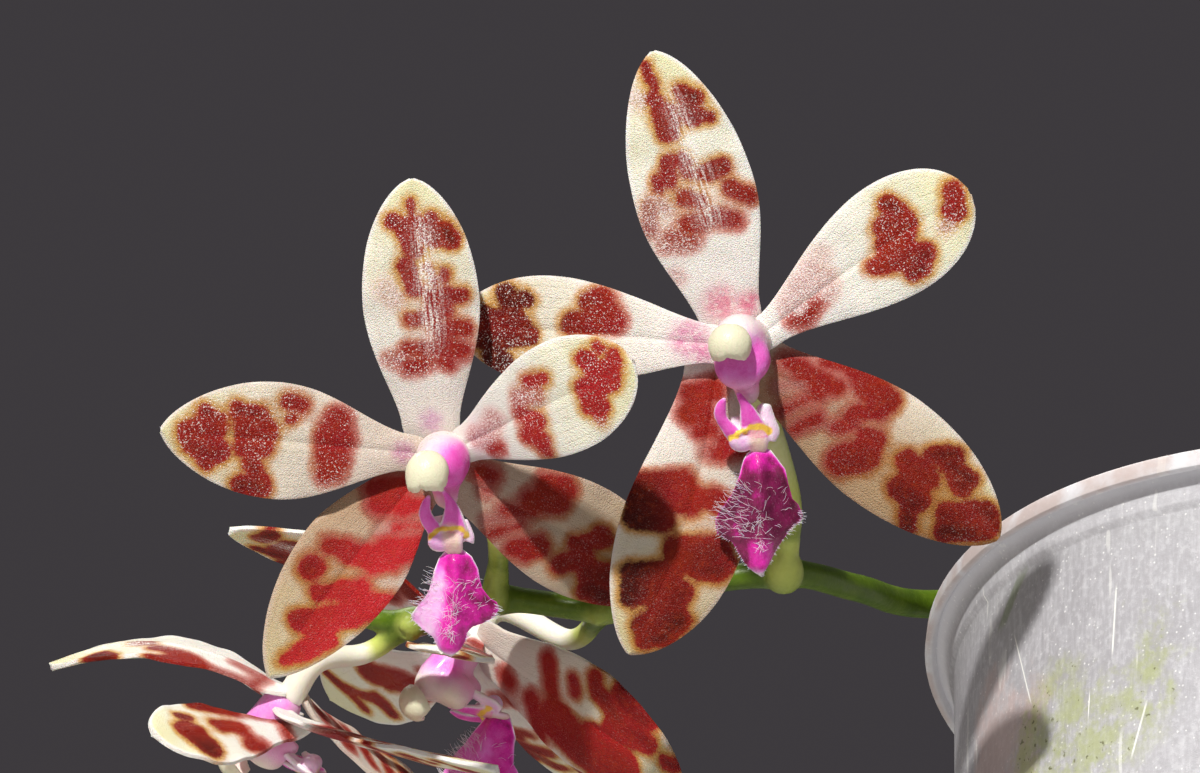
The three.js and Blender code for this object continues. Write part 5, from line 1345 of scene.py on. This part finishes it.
# How the bars lean at the root, at the tip and towards the left: above 0 to dark chestnut, painted shade,
# and below 0 to bright red, painted light coming through the blade
BAR_SHADE_AND_GLOW = {(1, "sepal_dorsal"): (0.1, 0.2, 0), (1, "petal_left"): (-0.2, 0.7, 0),
         (1, "sepal_left"): (0, 0.6, -0.45), (1, "sepal_right"): (0.2, 0.45, 0),
         (2, "sepal_right"): (-0.3, -0.3, 0), (2, "sepal_dorsal"): (0.3, 0.3, 0),
         (3, "petal_right"): (-0.4, -0.4, 0), (3, "sepal_left"): (-0.6, -0.4, -0.6),
         (3, "sepal_right"): (-0.1, -0.15, 0), (4, "petal_right"): (0.2, 0.5, 0),
         (4, "sepal_dorsal"): (0.2, 0.4, 0)}
FEWEST_BARS = 6


def make_bloom(number, bloom):
    for order, (tepal, spec) in enumerate(bloom["tepals"].items()):
        bars, blushes = MARKS.get((number, tepal), ([], []))
        if len(bars) < FEWEST_BARS:
            bars = [*bars, *scattered_bars(spec, 10 * number + order)]
        looks = dict(lilac=1.0 if number == 3 else 0.6 if tepal == "petal_left" else 0.3,
                     graze_glints=GRAZE_GLINTS_BY_TEPAL[tepal] if number % 2 else 0.1, sheen=1.0 if tepal == "sepal_dorsal" else 0.0)
        kind, name = tepal.split("_")[0], f"bloom_{number}_{tepal}"
        sheet = make_tepal(name + "_blade", bloom, spec, bars, blushes, number * 5 + order,
                           1.6 if kind == "sepal" else 0.4, looks, BAR_SHADE_AND_GLOW.get((number, tepal), (0, 0, 0)),
                           SHADES.get((number, tepal), (0.06, 0.06, 0, 0)))
        finish_piece(sheet, kind, [TEPAL_FRONT, TEPAL_BACK], name)
    make_column(number, bloom)
    make_cap(number, bloom)
    make_lip(number, bloom)


# ---- Spike, stalks and bud -----------------------------------------------------------------------------------

# Where each flower stalk leaves the spike and a place that it bows through, in the spray's frame, and how pale it
# is at its flower
FORKS = [(14.4, -14.7, -22), (0.4, -17.5, -24), (-8.3, -16.9, -25), (-14.8, -18.7, -26)]
BOWS = [(15.6, -9, -15), (-2.4, -20.3, -31), (-8.1, -11.4, -18), (-18.6, -21.2, -27.5)]
STALK_PALE = [0.62, 1.0, 0.6, 1.0]
SPIKE_FOOT = [(-6.1, 0, 74), (-15, 4, 81.5), (-27, 7.5, 85.5)]
SPIKE_ARCH, SPIKE_END = [(27.4, -18.1, -49), (20.6, -16.2, -33)], [(-18, -18.5, -27.4), (-20.3, -17.4, -28)]
BRACT_RADII = np.array([1.4, 1.55, 1.6, 1.6, 1.55, 1.45, 1.3, 1.1, 0.85, 0.6, 0.4, 0.2])
SPIKE_CUTS, STALK_CUTS, BRACT_CUTS = 220, 70, len(BRACT_RADII)


def make_spike():
    """The spike with its flower stalks and bracts, grown into one, and the bud at its end."""
    main = curve_through([*SPIKE_FOOT, *from_spray([*SPIKE_ARCH, FORKS[0], (7.9, -15.4, -22), *FORKS[1:],
                                                    *SPIKE_END])], SPIKE_CUTS)
    radii = 1.05 * (1.3 - 0.4 * np.linspace(0, 1, SPIKE_CUTS))
    forks = from_spray(FORKS)
    for fork in forks:
        radii = radii + 0.34 * hump(np.linalg.norm(main - fork, axis=1), 1.4)
    guides = [(main, np.zeros(SPIKE_CUTS), 1.15)]
    parts = [round_stalk("main", main, radii)]
    share = np.linspace(0, 1, STALK_CUTS)
    for i, (number, bloom) in enumerate(BLOOMS.items()):
        face, place = bloom_axes(bloom)[2], np.array(bloom["place"])
        bow = np.array(BOWS[i]) - ((0.8, 0, 0) if number == 1 else (0, 0, 0))
        line = from_spray(curve_through([FORKS[i], bow, place - face * 4.5, place - face * 0.75], STALK_CUTS))
        parts.append(round_stalk("stalk", line, 0.82 * (1.5 - 0.5 * np.minimum(1, 6 * share)) + 0.35 * share ** 2))
        guides.append((line, STALK_PALE[i] * ease(share, 0.05, 0.5), 0.9))
        way = from_spray(np.array(BOWS[i])) - forks[i]
        bract = curve_through([forks[i] + (0, 0, -0.6), forks[i] + way * 0.12 + OUT * 1.25,
                               forks[i] + way * 0.30 + OUT * 1.7 + UP * 0.4], BRACT_CUTS)
        stout = 1.0 if number == 1 else 0.72
        parts.append(round_stalk("bract", bract, stout * BRACT_RADII))
        guides.append((bract, np.linspace(0.2, 0.5 if number == 1 else 0.3, BRACT_CUTS), 1.3 * stout))
    spike, points = grow_together(parts, "flower_spike_grown", 0.17, 10)
    pale, weights = np.zeros(len(points)), np.full(len(points), 1e-9)
    for line, values, stout in guides:
        for start in range(0, len(line), 30):
            gap = np.linalg.norm(points[:, None] - line[None, start:start + 30], axis=2)
            weight = np.exp(-3.5 * np.maximum(gap - stout, -0.5))
            pale += (weight * values[start:start + 30]).sum(1)
            weights += weight.sum(1)
    mark(spike, pale=pale / weights)
    smooth(spike)
    finish_piece(spike, "stem", [STALK], "flower_spike")

    way = unit(main[-1] - main[-2])
    heart = main[-1] + way * 2.42
    line = curve_through([heart - way * 2.1, heart, heart + way * 2.1], 12)
    bud, along, points = stretched_ball(
        "bud_scales", line,
        lambda a, t: 1.5 * np.sin(np.pi * np.clip(a, 0.02, 0.98)) ** 0.75 * (1 + 0.05 * np.cos(3 * t)), 30, 30, 8)
    move_points(bud, points)
    mark(bud, pale=0.5 + 0.25 * along)
    smooth(bud)
    finish_piece(bud, "bud", [STALK], "bud")


# ---- Crown, leaves and roots ---------------------------------------------------------------------------------

POT_HEIGHT = 78
CROWN_BOTTOM, CROWN_TOP, CROWN_RADIUS = 52, 89, 5.2
# Each leaf's turn about the pot, its foot's height over the rim, its length, width, lift, curl and fold
LEAVES = [(-77, -1.5, 116, 43, 20, -62, 0.28), (97, 0, 126, 47, 26, -66, 0.26), (-83, 2.8, 134, 49, 36, -78, 0.24),
          (88, 5.2, 118, 46, 44, -76, 0.26), (-74, 7.6, 62, 25, 64, -34, 0.32)]
LEAF_THICKNESS, LEAF_MESH = 1.9, 1.1
ROOT_FOOT, ROOT_CUTS = 68.5, 110
# Each root's turn about the pot, its path out and up from its foot, and its radius
ROOTS = [(24, [(16, 6), (24, 3.5), (29, -8), (29.5, -24)], 2.1),
         (140, [(15, 5), (22, 1.5), (26, -10), (27, -20)], 2.3),
         (-32, [(15, 6.5), (25, 12.4), (36, 14.6), (44.2, 10.5), (46, -3), (44, -20)], 2.2),
         (-128, [(14, 4), (20, 0), (23.5, -12), (24, -22)], 1.9)]
FREE_ROOT = 3


def crown_radius(share):
    share = np.asarray(share, float)
    return CROWN_RADIUS * (0.55 + 0.45 * np.minimum(1, 3 * share) - 0.45 * np.maximum(0, share - 0.6) ** 1.2)


def turn_flat(points, degrees):
    angle = math.radians(degrees)
    c, s = math.cos(angle), math.sin(angle)
    x, y, z = np.asarray(points, float).T
    return np.stack([x * c - y * s, x * s + y * c, z], 1)


def make_leaf(number, turn, height, length, width, lift, curl, fold):
    share = (POT_HEIGHT + height - CROWN_BOTTOM) / (CROWN_TOP - CROWN_BOTTOM)
    start = float(crown_radius(share)) + 0.4 + 0.95 * math.sin(math.radians(lift))
    spec = blade(0, length, width, (start, 0, 0), 0.26, 0.58, 0.62, lift, curl, 0.1, fold=fold, steps=12)
    sheet, along, across = cut_sheet("leaf", int(length / LEAF_MESH), int(width / LEAF_MESH))
    points, half, faces = bend_blade(spec, along, across, 0.35)
    x, y = along * length, across * half
    relief = 0.5 * np.sin(along * 12 + number) * np.abs(across) ** 3 * (half / (width / 2))
    relief += 0.35 * ripple(np.stack([x, y, np.zeros_like(x)], 1), 14, number)
    relief -= 0.5 * hump(y, 0.9) * ease(along, 0.0, 0.15)
    points = points + faces * (relief * ease(along, 0.0, 0.12))[:, None]
    move_points(sheet, turn_flat(points, turn) + np.array([0, 0, POT_HEIGHT + height]))
    mark(sheet, along=along, across=across, margin=half * (1 - np.abs(across)))
    thicken(sheet, LEAF_THICKNESS, 0.45, across, 0.2)
    smooth(sheet, 60)
    finish_piece(sheet, "leaf", [LEAF_TOP, LEAF_UNDER], f"leaf_{number}")
    sheet.name = f"leaf_{number}_blade"


def make_crown():
    line = np.stack([np.zeros(60), np.zeros(60), np.linspace(CROWN_BOTTOM, CROWN_TOP, 60)], 1)

    def girth(along, turn):
        scars = 0.22 * np.abs(np.sin(along * 26)) ** 3
        return crown_radius(along) * (1 + 0.03 * np.cos(2 * turn)) - scars

    crown, along, points = stretched_ball("crown_stem", line, girth, 40, 70, 12)
    move_points(crown, points)
    mark(crown, pale=0.35 * ease(along, 0.5, 0.0))
    smooth(crown)
    finish_piece(crown, "crown_green", [STALK], "crown")


def make_root(number, turn, path, radius):
    tilt = math.atan2(path[0][1], path[0][0] - CROWN_RADIUS)
    start = CROWN_RADIUS + 0.4 + radius * math.sin(tilt)
    places = [(out, 1.6 * math.sin(2.1 * i), up) for i, (out, up) in enumerate([(start, 0), *path])]
    line = curve_through(turn_flat(places, turn) + np.array([0, 0, ROOT_FOOT]), ROOT_CUTS)
    share = np.linspace(0, 1, ROOT_CUTS)
    draw = random.Random(number)
    knobs = 1 + 0.05 * np.array([math.sin(9 * s + draw.random()) for s in share])
    radii = radius * (0.92 + 0.08 * np.cos(6 * share)) * knobs
    radii = radii * np.sqrt(1 - 0.97 * np.clip((share - 0.955) / 0.045, 0, 1) ** 2)
    root = round_stalk("root", line, radii, 6)
    points = points_of(root) / MM
    nearest = np.linalg.norm(points[:, None] - line[None], axis=2).argmin(1)
    points = points + (points - line[nearest]) * (0.06 * ripple(points, 2.2, number))[:, None]
    move_points(root, points)
    mark(root, along=share[nearest] * (1 if number == FREE_ROOT else 0.5))
    smooth(root, 70)
    root.name = f"root_{number}_velamen"
    finish_piece(root, "root", [ROOT], f"root_{number}")


# ---- Pot and bark --------------------------------------------------------------------------------------------

WALL_TOP_RADIUS, BASE_RADIUS, SHOULDER, WALL = 37.2, 29, 72.5, 0.9
FOOT_RADIUS, POT_SIDES = 27.4, 144
DRAIN_HOLES, DRAIN_RADIUS, DRAIN_CIRCLE = 6, 3, 18


def wall_radius(z):
    return BASE_RADIUS + (WALL_TOP_RADIUS - BASE_RADIUS) * np.asarray(z, float) / SHOULDER


def make_pot():
    """Drawn ring by ring: up the outside, over the turned rim, and down the inside. Then its base is drilled."""
    low, mid, high = [float(wall_radius(z)) for z in (1.6, 30, 60)]
    rings = [(low, 1.6), (mid, 30), (high, 60), (37.35, 74.2), (37.8, 74.7), (38.0, 75.6), (38.4, 76.3),
             (39.1, 76.8), (39.35, 76.3), (40, 76.3), (40, 77.7), (39.6, 78), (38.9, 78), (38.75, 77.86),
             (38.35, 77.86), (38.2, 78), (37, 78), (37, 73.5), (36.3, 72.1), (high - WALL, 60),
             (mid - WALL, 30), (low - WALL, 2.0), (26.5, 1.4)]
    pot = start_with(bpy.ops.mesh.primitive_circle_add, "pot_moulding", vertices=POT_SIDES, radius=FOOT_RADIUS * MM,
                     fill_type="NGON")
    bpy.ops.object.mode_set(mode="EDIT")
    bpy.ops.mesh.select_all(action="SELECT")
    radius, height = FOOT_RADIUS, 0
    for next_radius, next_height in rings:
        bpy.ops.mesh.extrude_region_move(TRANSFORM_OT_translate={"value": (0, 0, (next_height - height) * MM)})
        share = next_radius / radius
        bpy.ops.transform.resize(value=(share, share, 1), center_override=(0, 0, next_height * MM))
        radius, height = next_radius, next_height
    bpy.ops.object.mode_set(mode="OBJECT")
    cutters = []
    for i in range(DRAIN_HOLES):
        turn = 2 * math.pi * (i + 0.5) / DRAIN_HOLES
        place = (DRAIN_CIRCLE * MM * math.cos(turn), DRAIN_CIRCLE * MM * math.sin(turn), 0)
        cutters.append(start_with(bpy.ops.mesh.primitive_cylinder_add, "cutter", vertices=40,
                                  radius=DRAIN_RADIUS * MM, depth=8 * MM, location=place))
        settle(cutters[-1])
    drill = join(cutters, "drill")
    face_outwards(pot)
    holes = pot.modifiers.new("holes", "BOOLEAN")
    holes.object, holes.operation, holes.solver = drill, "DIFFERENCE", "EXACT"
    round_edges(pot, 0.14, 2, 28)
    apply_modifiers(pot)
    bpy.data.objects.remove(drill)
    face_outwards(pot, weld=True)
    smooth(pot, 30)
    finish_piece(pot, "clear_plastic", [PLASTIC], "pot")


WALL_CHIPS, TOP_CHIPS = 150, 64
BARK_BOTTOM, BARK_TOP, CHIPS_TOP = 4.0, 62.0, 67.5
# The wall's facets and a gap keep the bark off the wall
BARK_CLEARANCE = 0.45


def inside_wall(z):
    return wall_radius(z) * math.cos(math.pi / 36) - WALL - BARK_CLEARANCE


def make_bark():
    """A packed core with chips of bark pressed against the wall and heaped on top."""
    draw = random.Random(41)
    core = start_with(bpy.ops.mesh.primitive_cylinder_add, "core", vertices=48, radius=1, depth=1)
    settle(core)
    x, y, z = points_of(core).T
    z = np.where(z > 0, BARK_TOP, BARK_BOTTOM)
    move_points(core, np.stack([x * (inside_wall(z) - 4), y * (inside_wall(z) - 4), z], 1))
    mark(core, tone=0.2)
    chips = [core]
    pattern = start_with(bpy.ops.mesh.primitive_cube_add, "chip", size=1)
    cuts = pattern.modifiers.new("cuts", "SUBSURF")
    cuts.subdivision_type, cuts.levels, cuts.render_levels = "SIMPLE", 1, 1
    edge = pattern.modifiers.new("edge", "BEVEL")
    edge.width, edge.segments, edge.limit_method = 0.07, 1, "ANGLE"
    apply_modifiers(pattern)
    base = points_of(pattern)
    places = []
    for i in range(WALL_CHIPS):
        height = 4 + 57 * ((i * GOLDEN_SHARE) % 1)
        reach = float(inside_wall(height)) - 3.2 + 1.4 * draw.random()
        places.append((reach, i * GOLDEN_TURN, height, math.pi / 2))
    for i in range(TOP_CHIPS):
        places.append((math.sqrt((i + 0.5) / TOP_CHIPS) * 30, i * GOLDEN_TURN, 62.5 + 2.5 * draw.random(), 0))
    for i, (reach, turn, height, upright) in enumerate(places):
        chip = put_in_scene("chip", pattern.data.copy())
        size = np.array([draw.uniform(6, 13), draw.uniform(3.5, 8), draw.uniform(1.4, 3.4)])
        narrow = draw.uniform(0.2, 1.0)
        lean = Matrix.Rotation(draw.uniform(-0.5, 0.5) + upright, 3, "Y")
        spin = Matrix.Rotation(turn, 3, "Z") @ lean @ Matrix.Rotation(draw.uniform(0, 3.1), 3, "Z")
        chunk = base.copy()
        chunk[:, 1] *= 1 - narrow * (base[:, 0] + 0.5) * 0.7
        twist, warp = 0.5 * draw.uniform(-1, 1), 0.4 * draw.uniform(0, 1)
        chunk[:, 2] += twist * base[:, 0] * base[:, 1] + warp * base[:, 1] ** 2
        chunk = chunk * size
        chunk = chunk * (1 + 0.24 * ripple(chunk, 3.1, i))[:, None]
        chunk[:, 0] += 0.9 * ripple(chunk, 1.7, i + 5)
        chunk = chunk @ np.array(spin).T + np.array([reach * math.cos(turn), reach * math.sin(turn), height])
        chunk[:, 2] = np.clip(chunk[:, 2], 2.0, CHIPS_TOP)
        far = np.hypot(chunk[:, 0], chunk[:, 1])
        chunk[:, :2] *= np.minimum(1, inside_wall(chunk[:, 2]) / np.maximum(far, 1e-6))[:, None]
        move_points(chip, chunk)
        mark(chip, tone=draw.random())
        chips.append(chip)
    bpy.data.objects.remove(pattern)
    bark = join(chips, "bark_chips")
    smooth(bark, 35)
    finish_piece(bark, "bark", [BARK], "bark")


# ---- The whole plant -----------------------------------------------------------------------------------------

TEPAL_FRONT = tepal_skin("tepal_front", 1.0, 0.1)
TEPAL_BACK = tepal_skin("tepal_back", 0.6, 0.12)
FLESH = lip_flesh()
HAIR = lip_hair()
STALK = stalk_skin()
LEAF_TOP = leaf_skin("leaf_top", (0.055, 0.15, 0.014), (0.03, 0.095, 0.01), 0.34)
LEAF_UNDER = leaf_skin("leaf_under", (0.15, 0.23, 0.06), (0.10, 0.17, 0.04), 0.45)
ROOT = root_skin()
BARK = bark_skin()
PLASTIC = frosted_plastic()

set_camera()
set_stage()
make_pot()
make_bark()
make_crown()
for number, leaf in enumerate(LEAVES, 1):
    make_leaf(number, *leaf)
for number, root in enumerate(ROOTS, 1):
    make_root(number, *root)
make_spike()
for number, bloom in BLOOMS.items():
    make_bloom(number, bloom)
